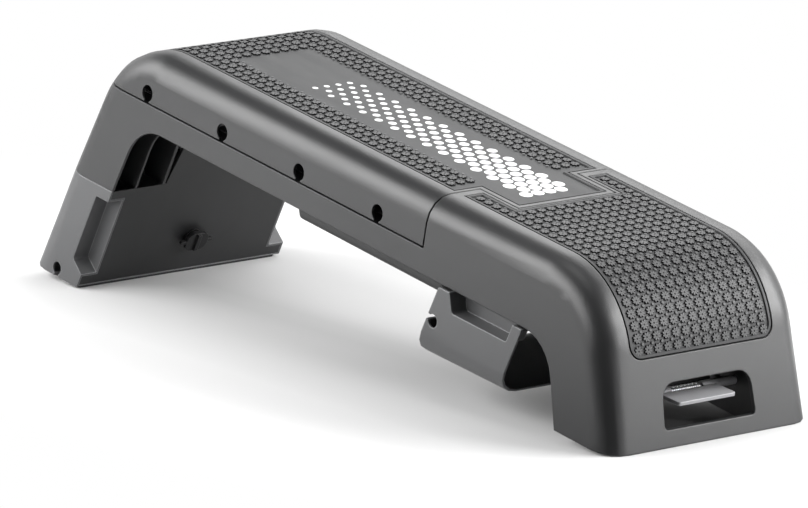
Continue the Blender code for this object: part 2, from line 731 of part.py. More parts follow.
def leg_hull(name, inset, low, high, inner_side):
    """The leg's outer wall and rounded sides, continued from the deck's end wall."""
    end = inset * SLOPE_LENGTH
    outline = [
        Vector((-END_SLOPE * low - end, low)),
        Vector((-END_SLOPE * high - end, high)),
        Vector((inner_side, high)),
        Vector((inner_side, low)),
    ]
    half = HALF_WIDTH - inset
    return tapered(prism(name, outline, -half, half, "Y", EDGE_RADIUS - inset), LEG_DRAFT)


def grip_notches(grow):
    """The finger notches in the leg's two inner corners, with a ramp at the foot."""
    top, bottom = -GRIP_NOTCH_TOP + grow, -GRIP_NOTCH_BOTTOM - grow
    deep = GRIP_NOTCH_DEPTH + grow
    ramp = bottom - GRIP_NOTCH_RAMP
    corner = GRIP_NOTCH_CORNER + grow
    outline = arc_outline(
        [
            (leg_inner(top) - 0.03, top, 0),
            (leg_inner(top) + deep, top, corner),
            (leg_inner(bottom) + deep, bottom, corner),
            (leg_inner(ramp) - 0.003, ramp, 0),
            (leg_inner(ramp) - 0.03, ramp, 0),
        ],
        4,
    )
    inner, outer = HALF_WIDTH - GRIP_NOTCH_WIDTH - grow, HALF_WIDTH + CUT_MARGIN
    return [prism("grip_notch", outline, *sorted((side * inner, side * outer))) for side in (-1, 1)]


def to_pivot(obj):
    """Moves an end-frame form so that its origin is the leg's pivot."""
    obj.data.transform(Matrix.Translation((-PIVOT.x, 0, -PIVOT.y)))
    return obj


LEG_FOOT = -LEG_HEIGHT
LEG_INNER_FOOT = -FOOT_LENGTH + LEG_INNER_SLOPE * LEG_HEIGHT
LEG_OUTER_FOOT = END_SLOPE * LEG_HEIGHT
STRIP_START = LEG_INNER_FOOT + 0.002
STRIP_END = LEG_OUTER_FOOT - 0.016


def strip_outline(grow, corner):
    """The foot's rubber sheet from above, notched at both ends round the leg's band slot."""
    start, end, half = STRIP_START - grow, STRIP_END + grow, STRIP_HALF_LENGTH + grow
    slot = LEG_OUTER_FOOT - LEG_SLOT_FROM_TOE
    near, far = slot - STRIP_NOTCH_WIDTH / 2 + grow, slot + STRIP_NOTCH_WIDTH / 2 - grow
    shallow = STRIP_HALF_LENGTH - STRIP_NOTCH_DEPTH + grow
    side = [(start, half, corner), (near, half, 0), (near, shallow, 0), (far, shallow, 0), (far, half, 0), (end, half, corner)]
    return arc_outline([(x, -y, r) for x, y, r in side] + side[::-1], 3)


def foot_strip(name, grow):
    low, high = LEG_FOOT - STRIP_PROUD - 10 * grow, LEG_FOOT - STRIP_PROUD + STRIP_THICKNESS + grow
    return prism(name, strip_outline(grow, 0.004 + grow), low, high, "Z")


def make_leg_shell():
    """The leg's outer moulding: outer wall, sides, foot and the pockets of its grip notches."""
    outline = arc_outline(
        [
            (leg_inner(-LEG_TOP_GAP), -LEG_TOP_GAP, 0),
            (-END_SLOPE * -LEG_TOP_GAP + 0.02, -LEG_TOP_GAP, 0),
            (LEG_OUTER_FOOT + 0.02, LEG_FOOT, 0),
            (LEG_INNER_FOOT, LEG_FOOT, LEG_HEEL_RADIUS),
        ]
    )
    shell = prism("leg_shell", outline, -HALF_WIDTH - 0.02, HALF_WIDTH + 0.02)
    common(shell, leg_hull("leg_outer", 0.0, -0.25, 0.05, -0.40))
    toe = arc_outline(
        [
            (leg_inner(0.04) - 0.1, 0.04, 0),
            (-END_SLOPE * 0.04, 0.04, 0),
            (LEG_OUTER_FOOT, LEG_FOOT, LEG_TOE_RADIUS),
            (leg_inner(LEG_FOOT) - 0.1, LEG_FOOT, 0),
        ]
    )
    common(shell, prism("toe_form", toe, -HALF_WIDTH - 0.02, HALF_WIDTH + 0.02))
    cavity = leg_hull("leg_cavity", LEG_WALL, LEG_FOOT + LEG_WALL - EDGE_RADIUS, 0.05, -0.40)
    cut(cavity, box("cavity_floor", (-1, -1, -1), (1, 1, LEG_FOOT + LEG_WALL)))
    cut(cavity, *grip_notches(LEG_WALL))
    cut(shell, cavity, *grip_notches(0.0), foot_strip("strip_seat", 0.0003))
    centre_x, centre_z = LEG_OUTER_FOOT - LEG_SLOT_FROM_TOE, LEG_FOOT + LEG_SLOT_RISE
    for side in (-1, 1):
        ends = sorted((side * 0.151, side * 0.20))
        hole = rod("leg_slot", LEG_SLOT_RADIUS, (centre_x, ends[0], centre_z), (centre_x, ends[1], centre_z))
        neck = box("leg_neck", (centre_x - LEG_SLOT_NECK / 2, ends[0], LEG_FOOT - 0.01), (centre_x + LEG_SLOT_NECK / 2, ends[1], centre_z))
        cut(shell, hole, neck)
    return to_pivot(shell)


def inner_slab(name, low, high, half_width, start=0.0, stop=PANEL_THICKNESS):
    """A slab parallel to the leg's inner face."""
    outline = [
        Vector((leg_inner(low, start), low)),
        Vector((leg_inner(high, start), high)),
        Vector((leg_inner(high, stop), high)),
        Vector((leg_inner(low, stop), low)),
    ]
    return prism(name, outline, -half_width, half_width)


def knob_place():
    """The knob's centre on the panel's face, in the end's frame."""
    return Vector((-FOOT_LENGTH + KNOB_FROM_TOP * LEG_INNER_SLOPE / LEG_INNER_LENGTH, -KNOB_FROM_TOP / LEG_INNER_LENGTH))


def knob_matrix():
    """Local +Z along the panel's outward normal and local Y along the deck's y."""
    place = knob_place()
    normal = Vector((-1, 0, -LEG_INNER_SLOPE)).normalized()
    across = Vector((0, 1, 0))
    along = across.cross(normal)
    matrix = Matrix((along, across, normal)).transposed().to_4x4()
    return Matrix.Translation((place.x, 0, place.y)) @ matrix


def make_leg_panel():
    """The leg's inner panel with the tapering tongue and the two latch ears on the pivot rod."""
    half = HALF_WIDTH - LEG_WALL - PANEL_GAP
    panel = tapered(inner_slab("leg_panel", LEG_FOOT + LEG_WALL + PANEL_GAP, -LEG_TOP_GAP, half), LEG_DRAFT)
    cut(panel, *grip_notches(LEG_WALL + PANEL_GAP))
    ear_top = PIVOT.y + 0.016
    tongue = inner_slab("tongue_plate", -0.006, ear_top, HALF_WIDTH)
    outline = arc_outline(
        [
            (-TONGUE_PLATE_BASE, -0.02, 0),
            (TONGUE_PLATE_BASE, -0.02, 0),
            (TONGUE_PLATE_BASE, 0.004, 0.02),
            (EAR_OUTER, ear_top + 0.001, 0.004),
            (-EAR_OUTER, ear_top + 0.001, 0.004),
            (-TONGUE_PLATE_BASE, 0.004, 0.02),
        ],
        3,
    )
    common(tongue, prism("tongue_outline", outline, -0.3, 0.1, "X"))
    for side in (-1, 1):
        ends = sorted((side * (EAR_OUTER - EAR_THICKNESS), side * EAR_OUTER))
        ear = rod("ear", EAR_RADIUS, (PIVOT.x, ends[0], PIVOT.y), (PIVOT.x, ends[1], PIVOT.y), sides=32)
        web = [
            Vector((leg_inner(PIVOT.y - 0.016, 0.001), PIVOT.y - 0.016)),
            Vector((PIVOT.x, PIVOT.y - 0.016)),
            Vector((PIVOT.x, PIVOT.y + 0.016)),
            Vector((leg_inner(PIVOT.y + 0.0155, 0.001), PIVOT.y + 0.0155)),
        ]
        join(ear, prism("ear_web", web, *ends))
        for angle in (0.0, -FOLD_ANGLE):
            notch = box(
                "ear_notch",
                (-LATCH_NOTCH_WIDTH / 2, ends[0] - 0.01, -EAR_RADIUS - 0.01),
                (LATCH_NOTCH_WIDTH / 2, ends[1] + 0.01, -EAR_RADIUS + LATCH_NOTCH_DEPTH),
            )
            turn = Matrix.Translation((PIVOT.x, 0, PIVOT.y)) @ Matrix.Rotation(angle, 4, "Y")
            notch.data.transform(turn)
            cut(ear, notch)
        join(tongue, ear)
    join(panel, tongue)
    bore = PIVOT_ROD_RADIUS + RUNNING_GAP
    cut(panel, rod("pivot_bore", bore, (PIVOT.x, -0.1, PIVOT.y), (PIVOT.x, 0.1, PIVOT.y)))
    hole = rod("knob_hole", KNOB_STEM_RADIUS + RUNNING_GAP, (0, 0, -0.02), (0, 0, 0.02), sides=24)
    hole.data.transform(knob_matrix())
    cut(panel, hole)
    return to_pivot(panel)


def make_leg_strip():
    """The rubber sheet let into the leg's foot."""
    low = LEG_FOOT - STRIP_PROUD
    return to_pivot(prism("leg_strip", strip_outline(0.0, 0.004), low, low + STRIP_THICKNESS, "Z"))


def make_knob():
    """A quarter-turn knob with two wings, held in the panel by a flange on each side. Its axis is +Z."""
    back = -PANEL_THICKNESS - SEAT_GAP
    bottom = back - KNOB_FLANGE_THICKNESS
    knob = rod("knob", KNOB_STEM_RADIUS, (0, 0, bottom), (0, 0, KNOB_STEM_LENGTH + 0.001), sides=16)
    inner = rod("knob_inner_flange", KNOB_FLANGE_RADIUS, (0, 0, bottom), (0, 0, back), sides=16)
    top = SEAT_GAP + KNOB_FLANGE_THICKNESS
    outer = rod("knob_outer_flange", KNOB_FLANGE_RADIUS, (0, 0, SEAT_GAP), (0, 0, top), sides=16)
    long, wide = KNOB_HEAD_HALF_LENGTH, KNOB_RADIUS + 0.001
    corner = KNOB_HEAD_HALF_LENGTH * 0.8
    outline = arc_outline([(-long, -wide, corner), (long, -wide, corner), (long, wide, corner), (-long, wide, corner)], 4)
    top = KNOB_STEM_LENGTH + KNOB_HEAD_THICKNESS
    head = prism("knob_head", outline, KNOB_STEM_LENGTH, top, "Z")
    half, reach = KNOB_WING_WIDTH / 2, KNOB_WING_HALF_LENGTH
    corner = half * 0.95
    outline = arc_outline([(-half, -reach, corner), (half, -reach, corner), (half, reach, corner), (-half, reach, corner)], 3)
    wings = prism("knob_wings", outline, KNOB_STEM_LENGTH + 0.0006, top - 0.0008, "Z")
    bar = box("knob_bar", (-long * 0.9, -KNOB_BAR_WIDTH / 2, top - 0.001), (long * 0.9, KNOB_BAR_WIDTH / 2, top + KNOB_BAR_HEIGHT))
    return join(knob, inner, outer, head, wings, bar)


def spring_points():
    """Points along the coil round the paddle's rod, whose axis is local Y."""
    count = SPRING_TURNS * POINTS_PER_TURN
    points = []
    for index in range(count + 1):
        turn = 2 * math.pi * index / POINTS_PER_TURN
        y = (index / count - 0.5) * SPRING_TURNS * SPRING_PITCH
        points.append(Vector((SPRING_COIL_RADIUS * math.cos(turn), y, SPRING_COIL_RADIUS * math.sin(turn))))
    return points


def least_gap(points, wire):
    """The smallest space between two stretches of a coil that lie over half a turn apart."""
    apart = POINTS_PER_TURN // 2
    return min(
        (points[j] - points[i]).length - wire
        for i in range(len(points))
        for j in range(i + apart, min(len(points), i + 2 * POINTS_PER_TURN))
    )


def tube(name, points, radius, resolution):
    """One wire along the points, with closed ends."""
    curve = bpy.data.curves.new(name, "CURVE")
    curve.dimensions = "3D"
    curve.bevel_depth = radius
    curve.bevel_resolution = resolution
    curve.use_fill_caps = True
    spline = curve.splines.new("POLY")
    spline.points.add(len(points) - 1)
    for point, place in zip(spline.points, points):
        point.co = (*place, 1.0)
    drawn = bpy.data.objects.new(name, curve)
    bpy.context.scene.collection.objects.link(drawn)
    mesh = mesh_of(drawn)
    bpy.data.objects.remove(drawn, do_unlink=True)
    bpy.data.curves.remove(curve)
    mesh.name = name
    return link(bpy.data.objects.new(name, mesh), cutters)


def make_spring():
    points = spring_points()
    print(f"paddle spring: least gap {1000 * least_gap(points, SPRING_WIRE):.2f} mm")
    return tube("spring", points, SPRING_WIRE / 2, 1)


BARREL_INNER = SPRING_TURNS * SPRING_PITCH / 2 + SPRING_WIRE / 2 + SEAT_GAP
BARREL_OUTER = END_RIB - 0.002 - SEAT_GAP


def make_paddle():
    """The latch paddle in the hand hole: plate, barrels on the rod and a hooked arm under each ear. Origin on its rod."""
    half, front = PADDLE_HALF_WIDTH, PADDLE_REACH
    outline = arc_outline(
        [(0, -half, 0), (front, -half, PADDLE_CORNER), (front, half, PADDLE_CORNER), (0, half, 0)]
    )
    paddle = prism("paddle", outline, -PADDLE_THICKNESS / 2, PADDLE_THICKNESS / 2, "Z")
    clear = SPRING_COIL_RADIUS + SPRING_WIRE + 0.0012
    cut(paddle, box("spring_space", (-0.02, -BARREL_INNER, -0.02), (clear, BARREL_INNER, 0.02)))
    paddle.data.transform(Matrix.Rotation(PADDLE_ANGLE, 4, "Y"))
    eye = PIVOT - PADDLE_ROD
    tooth = eye.y - EAR_RADIUS - LATCH_CLEARANCE
    seat = tooth - LATCH_TOOTH_HEIGHT
    wide = LATCH_NOTCH_WIDTH / 2 - 0.0005
    for side in (-1, 1):
        ends = [(0, side * BARREL_INNER, 0), (0, side * BARREL_OUTER, 0)]
        outline = [
            Vector((0.002, -0.0055)),
            Vector((0.002, 0.0050)),
            Vector((eye.x + wide, seat)),
            Vector((eye.x + wide * 0.9, tooth)),
            Vector((eye.x - wide * 0.9, tooth)),
            Vector((eye.x - wide, seat - 0.006)),
            Vector((eye.x + wide, seat - 0.006)),
        ]
        across = sorted((side * (EAR_OUTER - EAR_THICKNESS), side * EAR_OUTER))
        join(paddle, rod("barrel", PADDLE_BARREL_RADIUS, *ends), prism("hook", outline, *across))
    bore = PADDLE_ROD_RADIUS + RUNNING_GAP
    return cut(paddle, rod("paddle_bore", bore, (0, -0.1, 0), (0, 0.1, 0)))


def make_pad():
    """A rubber foot pad under the moulded foot's corner."""
    near, far = -PAD_FROM_END, -PAD_FROM_END - PAD_LENGTH
    half = PAD_WIDTH / 2
    outline = arc_outline(
        [(far, -half, PAD_CORNER), (near, -half, PAD_CORNER), (near, half, PAD_CORNER), (far, half, PAD_CORNER)], 3
    )
    return prism("pad", outline, -PAD_PROUD, PAD_THICKNESS - PAD_PROUD, "Z")


def tray_form(name, inset):
    top = FLOOR_WEB_HEIGHT + 0.02
    low = TRAY_UNDERSIDE + inset
    depth = FLOOR_WEB_HEIGHT - TRAY_UNDERSIDE
    rise = (top - TRAY_UNDERSIDE) / depth - 1
    steep, shallow = depth * 0.12, depth * TRAY_END_SLOPE
    outline = arc_outline(
        [
            (-TRAY_NEAR + steep * rise - inset, top, 0),
            (-TRAY_NEAR - steep - inset, low, 0.007),
            (-TRAY_FAR + shallow + inset, low, 0.007),
            (-TRAY_FAR - shallow * rise + inset, top, 0),
        ],
        3,
    )
    return prism(name, outline, -TRAY_HALF_WIDTH + inset, TRAY_HALF_WIDTH - inset, "Y", 0.006)


def make_tray():
    """The belly tray: a tub with sloped ends that hangs from a flange under the floor web."""
    top = FLOOR_WEB_HEIGHT - SEAT_GAP
    tray = tray_form("tray", 0.0)
    flange = box(
        "tray_flange",
        (-TRAY_FAR - TRAY_FLANGE_REACH, -TRAY_HALF_WIDTH, top - TRAY_FLANGE),
        (-TRAY_NEAR + TRAY_FLANGE_REACH, TRAY_HALF_WIDTH, top),
    )
    cut(tray, box("tray_top", (-1, -1, top), (0, 1, 1)))
    join(tray, flange)
    cut(tray, tray_form("tray_inside", TRAY_WALL))
    for x, y in tray_screw_places():
        cut(tray, rod("flange_hole", TRAY_SCREW_SHANK + RUNNING_GAP, (x, y, 0.1), (x, y, 0.12), sides=12))
    return tray


def make_screw():
    """A pan-head screw with its head below the tray's flange, drawn in the deck's heights."""
    seat = FLOOR_WEB_HEIGHT - SEAT_GAP - TRAY_FLANGE - SEAT_GAP
    screw = rod("screw", TRAY_SCREW_HEAD, (0, 0, seat - 0.0024), (0, 0, seat), sides=16)
    return join(screw, rod("shank", TRAY_SCREW_SHANK, (0, 0, seat - 0.001), (0, 0, FLOOR_WEB_HEIGHT + RIB + 0.0015), sides=12))


def make_prop():
    """The wire bail that holds the back section up. Origin on its pivot, folded back along -X."""
    end = PROP_HALF_WIDTH + PROP_WALL_GAP + RIB + 0.003
    corners = [
        (0, end, 0),
        (0, PROP_HALF_WIDTH, 0.006),
        (-PROP_LENGTH, PROP_HALF_WIDTH, PROP_BEND_RADIUS),
        (-PROP_LENGTH, -PROP_HALF_WIDTH, PROP_BEND_RADIUS),
        (0, -PROP_HALF_WIDTH, 0.006),
        (0, -end, 0),
    ]
    points = arc_outline(corners, 4)
    return tube("prop", [Vector((x, y, 0)) for x, y in points], PROP_WIRE, 2)


def empty(name, parent=None, location=(0, 0, 0), rotation=(0, 0, 0)):
    holder = bpy.data.objects.new(name, None)
    holder.empty_display_size = 0.05
    holder.location = location
    holder.rotation_euler = rotation
    holder.parent = parent
    parts.objects.link(holder)
    return holder


DARK_PLASTIC = ((0.046, 0.048, 0.052), 0.42)
LEG_PLASTIC = ((0.105, 0.107, 0.112), 0.45)
PANEL_PLASTIC = ((0.030, 0.031, 0.034), 0.50)
RUBBER = ((0.026, 0.027, 0.029), 0.80)
BLACK_PLASTIC = ((0.012, 0.012, 0.013), 0.38)
STEEL = ((0.55, 0.56, 0.57), 0.28, 1.0)


def place(name, form, parent, look, location=(0, 0, 0), rotation=(0, 0, 0)):
    """Makes a part of a finished form: its own mesh, its own material, and its place under its parent."""
    mesh = form.data.copy()
    mesh.name = name
    mesh.materials.clear()
    mesh.materials.append(new_material(name + "_material", *look))
    mesh.shade_smooth()
    mesh.set_sharp_from_angle(angle=math.radians(32))
    part = bpy.data.objects.new(name, mesh)
    part.location = location
    part.rotation_euler = rotation
    part.parent = parent
    return link(part, parts)


deck = empty("deck")
far_foot = -DECK_LENGTH - STRIP_START
TILT = math.atan((-LEG_HEIGHT - STRIP_PROUD + PAD_PROUD) / (far_foot + PAD_FROM_END))
deck.rotation_euler = (0, TILT, 0)
ends = {
    "near": empty("near_end", deck),
    "far": empty("far_end", deck, (-DECK_LENGTH, 0, 0), (0, 0, math.pi)),
}

place("chassis", make_chassis(), deck, DARK_PLASTIC)
place("seat_mat", seat_mat_form("seat_mat_form", 0.0, MAT_THICKNESS - MAT_PROUD, MAT_PROUD), deck, RUBBER)
place("belly_tray", make_tray(), deck, PANEL_PLASTIC)
screw = make_screw()
for number, (x, y) in enumerate(tray_screw_places(), 1):
    place(f"tray_screw_{number}", screw, deck, STEEL, (x, y, 0))

hinge_half = 2 * KNUCKLE_PITCH + KNUCKLE_WIDTH / 2 - 0.012
hinge_rod = rod("hinge_rod_form", HINGE_ROD_RADIUS, (0, -hinge_half, 0), (0, hinge_half, 0))
place("hinge_rod", hinge_rod, deck, STEEL, (HINGE.x, 0, HINGE.y))
backrest = empty("backrest", deck, (HINGE.x, 0, HINGE.y))
to_hinge = Matrix.Translation((-HINGE.x, 0, -HINGE.y))
shell = make_back_section()
shell.data.transform(to_hinge)
place("backrest_shell", shell, backrest, DARK_PLASTIC)
mat = back_mat_form("backrest_mat_form", 0.0, MAT_THICKNESS - MAT_PROUD, MAT_PROUD)
mat.data.transform(to_hinge)
place("backrest_mat", mat, backrest, RUBBER)
prop_axis = empty("prop_axis", backrest, (-PROP_PIVOT_FROM_HINGE, 0, PROP_HEIGHT - HINGE.y))
place("backrest_prop", make_prop(), prop_axis, STEEL)

leg_shell, leg_panel, leg_strip = make_leg_shell(), make_leg_panel(), make_leg_strip()
knob, paddle, spring, pad = make_knob(), make_paddle(), make_spring(), make_pad()
rod_end = END_RIB + 0.002 + 0.003
pivot_rod = rod("pivot_rod", PIVOT_ROD_RADIUS, (0, -rod_end, 0), (0, rod_end, 0))
paddle_rod = rod("paddle_rod", PADDLE_ROD_RADIUS, (0, -rod_end, 0), (0, rod_end, 0))
for side, end in ends.items():
    turn = FOLD_ANGLE if side == "near" else 0.0
    leg = empty(side + "_leg", end, (PIVOT.x, 0, PIVOT.y), (0, turn, 0))
    place(side + "_leg_shell", leg_shell, leg, LEG_PLASTIC)
    place(side + "_leg_panel", leg_panel, leg, PANEL_PLASTIC)
    place(side + "_leg_strip", leg_strip, leg, RUBBER)
    knob_axis = knob_matrix()
    at = knob_axis.to_translation() - Vector((PIVOT.x, 0, PIVOT.y))
    holder = empty(side + "_knob_axis", leg, at, knob_axis.to_euler())
    place(side + "_leg_knob", knob, holder, BLACK_PLASTIC)
    place(side + "_pivot_rod", pivot_rod, end, STEEL, (PIVOT.x, 0, PIVOT.y))
    paddle_axis = (PADDLE_ROD.x, 0, PADDLE_ROD.y)
    place(side + "_paddle_rod", paddle_rod, end, STEEL, paddle_axis)
    place(side + "_paddle", paddle, end, BLACK_PLASTIC, paddle_axis)
    place(side + "_paddle_spring", spring, end, STEEL, paddle_axis)
    for number, y in ((1, -PAD_INSET), (2, PAD_INSET)):
        place(f"{side}_pad_{number}", pad, end, RUBBER, (0, y, 0))


def stand_on_floor():
    """Moves the deck so that the middle of the whole step's underside is at the world's origin."""
    bpy.context.view_layer.update()
    graph = bpy.context.evaluated_depsgraph_get()
    points = []
    for obj in parts.objects:
        if obj.type == "MESH":
            solid = obj.evaluated_get(graph)
            points.extend(solid.matrix_world @ vertex.co for vertex in solid.data.vertices)
    low = Vector([min(point[axis] for point in points) for axis in range(3)])
    high = Vector([max(point[axis] for point in points) for axis in range(3)])
    deck.location -= Vector(((low.x + high.x) / 2, (low.y + high.y) / 2, low.z))


stand_on_floor()
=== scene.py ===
# %% [markdown]
# # An adjustable exercise step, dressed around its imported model
#
# The step is a long hollow moulding with a lifting back section, two rubber mats and a fold-out leg at each end.
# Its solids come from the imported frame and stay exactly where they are. This lesson adds what the solids leave
# out: the treads of the mats, the grain and wear of the mouldings, the print, and the studio round it.

import json
import math

import bmesh
import bpy
from mathutils import Matrix, Vector


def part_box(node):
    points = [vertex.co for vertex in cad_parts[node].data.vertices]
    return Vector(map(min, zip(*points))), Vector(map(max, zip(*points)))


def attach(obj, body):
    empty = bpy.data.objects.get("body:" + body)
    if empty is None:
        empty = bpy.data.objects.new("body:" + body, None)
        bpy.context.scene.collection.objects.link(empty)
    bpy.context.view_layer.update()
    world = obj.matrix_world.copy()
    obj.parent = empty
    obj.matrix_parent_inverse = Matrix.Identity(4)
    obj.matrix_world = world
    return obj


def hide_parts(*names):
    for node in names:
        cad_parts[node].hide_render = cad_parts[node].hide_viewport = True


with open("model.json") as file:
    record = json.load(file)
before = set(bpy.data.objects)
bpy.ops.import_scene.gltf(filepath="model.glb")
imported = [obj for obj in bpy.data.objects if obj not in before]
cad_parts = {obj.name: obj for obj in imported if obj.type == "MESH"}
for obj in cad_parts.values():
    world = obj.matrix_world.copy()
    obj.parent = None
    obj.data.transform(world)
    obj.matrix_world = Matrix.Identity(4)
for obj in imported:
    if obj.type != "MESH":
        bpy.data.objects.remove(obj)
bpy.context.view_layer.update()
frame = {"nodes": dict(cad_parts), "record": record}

# %% [markdown]
# ## The deck's own frame
#
# One leg is unfolded, so the deck slopes. Treads, print and camera are easiest to place on a level deck, with x
# running from the near end's foot towards the far end at minus the deck's length, and z up from the feet.
# The frame's record holds the seat's surface as a mount: a point and a direction. They give the slope and the place.

# %% Find the deck's frame from the seat's mount
DECK_HEIGHT, DECK_LENGTH = 0.2055, 1.1255
SEAT_MOUNT_X = -0.245
seat_mount = next(m for m in frame["record"]["mounts"] if m["name"] == "seat_top")
deck_up = Vector(seat_mount["axis"])
tilt = math.atan2(deck_up.x, deck_up.z)
slope = Matrix.Rotation(tilt, 4, "Y")
mount_on_deck = Vector((SEAT_MOUNT_X, 0, DECK_HEIGHT))
deck = Matrix.Translation(Vector(seat_mount["pos_m"]) - slope @ mount_on_deck) @ slope
print("the deck slopes by", round(math.degrees(tilt), 2), "degrees")

# %% [markdown]
# ## The camera
#
# The photograph was taken with a long lens from the low end's left. A camera fitted to the edges of the deck gives
# its place and its three directions in the deck's frame, so they are written down here as they were measured.

# %% Make the camera
FOCAL_PIXELS, PHOTO_WIDTH, SENSOR_WIDTH = 7285, 808, 36
CAMERA_PLACE = (6.09234, -5.82945, 3.16538)
right, down, forward = (
    Vector((0.62174, 0.77534, 0.11085)),
    Vector((0.32651, -0.12794, -0.93650)),
    Vector((-0.71192, 0.61845, -0.33270)),
)
camera = bpy.data.objects.new("camera", bpy.data.cameras.new("camera"))
bpy.context.scene.collection.objects.link(camera)
camera.data.sensor_width = SENSOR_WIDTH
camera.data.lens = FOCAL_PIXELS / PHOTO_WIDTH * SENSOR_WIDTH
camera.data.clip_end = 100
looking = Matrix((right, -down, -forward)).transposed().to_4x4()
camera.matrix_world = deck @ Matrix.Translation(CAMERA_PLACE) @ looking
bpy.context.scene.camera = camera
print("the camera stands", round(camera.matrix_world.translation.length, 2), "m away")

# %% [markdown]
# ## Small helpers for node trees
#
# Shader trees and geometry trees are both built from nodes and links. A few helpers keep the cells short. The first
# adds a node and fills its inputs with values or with other nodes' outputs. The rest are built on it: arithmetic on
# numbers and on vectors, a blend of two colours, and a ramp that maps one range of numbers to another.


# %% Helpers that add nodes
def add(tree, kind, inputs=None, **settings):
    """Add a node, give it its settings, then fill its inputs with values or with outputs to link."""
    made = tree.nodes.new(kind)
    for key, value in settings.items():
        setattr(made, key, value)
    for key, value in (inputs or {}).items():
        if isinstance(value, bpy.types.NodeSocket):
            tree.links.new(value, made.inputs[key])
        else:
            made.inputs[key].default_value = value
    return made


def calc(tree, operation, *values):
    """Arithmetic on numbers or outputs."""
    return add(tree, "ShaderNodeMath", dict(enumerate(values)), operation=operation).outputs[0]


def calc_vector(tree, operation, *values):
    """Arithmetic on vectors. A length or a dot product is a number, anything else a vector."""
    made = add(tree, "ShaderNodeVectorMath", dict(enumerate(values)), operation=operation)
    return made.outputs["Value" if operation in ("LENGTH", "DOT_PRODUCT") else "Vector"]


def split(tree, vector):
    """The X, Y and Z of a vector."""
    return add(tree, "ShaderNodeSeparateXYZ", {0: vector}).outputs


def distance(tree, across, along):
    """How far a point is from the middle, from its two distances."""
    squares = [calc(tree, "MULTIPLY", side, side) for side in (across, along)]
    return calc(tree, "SQRT", calc(tree, "ADD", *squares))


def mix(tree, amount, first, second, kind="RGBA"):
    """Two colours, or two numbers where kind is FLOAT, blended by an amount from 0 to 1."""
    made = add(tree, "ShaderNodeMix", {"Factor": amount, "A": first, "B": second}, data_type=kind)
    return made.outputs["Result"]


def ramp(tree, value, low, high, first=0.0, last=1.0, soft=False):
    """Map the range low to high onto first to last, and hold the ends. A soft ramp eases in and out."""
    sizes = {"Value": value, "From Min": low, "From Max": high, "To Min": first, "To Max": last}
    curve = "SMOOTHSTEP" if soft else "LINEAR"
    return add(tree, "ShaderNodeMapRange", sizes, interpolation_type=curve).outputs[0]


def grey(level):
    """A neutral colour."""
    return level, level, level, 1


print("node helpers:", [helper.__name__ for helper in (add, calc, calc_vector, split, distance, mix, ramp, grey)])


# %% A helper that starts a node group
def new_group(name, kind, wants, gives):
    """A node group with named inputs and outputs. Each is a name, a socket type and a first value."""
    tree = bpy.data.node_groups.new(name, kind)
    for side, sockets in (("INPUT", wants), ("OUTPUT", gives)):
        for title, socket, *value in sockets:
            made = tree.interface.new_socket(title, in_out=side, socket_type="NodeSocket" + socket)
            if value:
                made.default_value = value[0]
    return tree, tree.nodes.new("NodeGroupInput").outputs, tree.nodes.new("NodeGroupOutput").inputs


print("groups so far:", len(bpy.data.node_groups))

# %% [markdown]
# ## Grain of the mouldings
#
# The plastic was moulded in a spark-eroded tool, which leaves a fine pebble grain, and its gloss wanders a little
# where the melt cooled unevenly. Both come from procedural textures on Object coordinates in metres, so they keep
# their real size. They are one shader group, because every plastic and rubber here uses them with other sizes.

# %% Build the grain group
PEBBLE_SHARE = 0.7
STREAK_STRETCH, STREAKS_TO_A_CLOUD = (0.15, 1.0, 1.0), 6.0
grain_tree, wants, gives = new_group(
    "moulded_grain",
    "ShaderNodeTree",
    [("Place", "Vector"), ("Grain Size", "Float", 0.0008), ("Cloud Size", "Float", 0.12)],
    [("Height", "Float"), ("Cloud", "Float"), ("Streak", "Float")],
)


def noise(tree, place, scale, detail):
    """The grey of a noise texture."""
    made = add(tree, "ShaderNodeTexNoise", {"Vector": place, "Scale": scale, "Detail": detail})
    return made.outputs["Fac"]


fine = calc(grain_tree, "DIVIDE", 1.0, wants["Grain Size"])
wide = calc(grain_tree, "DIVIDE", 1.0, wants["Cloud Size"])
pebbles = add(
    grain_tree, "ShaderNodeTexVoronoi", {"Vector": wants["Place"], "Scale": fine}, feature="SMOOTH_F1"
)
dust = noise(grain_tree, wants["Place"], fine, 2.0)
cloud = noise(grain_tree, wants["Place"], wide, 3.0)
stretch = add(grain_tree, "ShaderNodeMapping", {"Vector": wants["Place"], "Scale": STREAK_STRETCH})
narrow = calc(grain_tree, "MULTIPLY", wide, STREAKS_TO_A_CLOUD)
streak = noise(grain_tree, stretch.outputs[0], narrow, 4.0)
height = calc(grain_tree, "MULTIPLY_ADD", pebbles.outputs["Distance"], PEBBLE_SHARE, dust)
grain_tree.links.new(height, gives["Height"])
grain_tree.links.new(cloud, gives["Cloud"])
grain_tree.links.new(streak, gives["Streak"])
print("grain group:", len(grain_tree.nodes), "nodes")
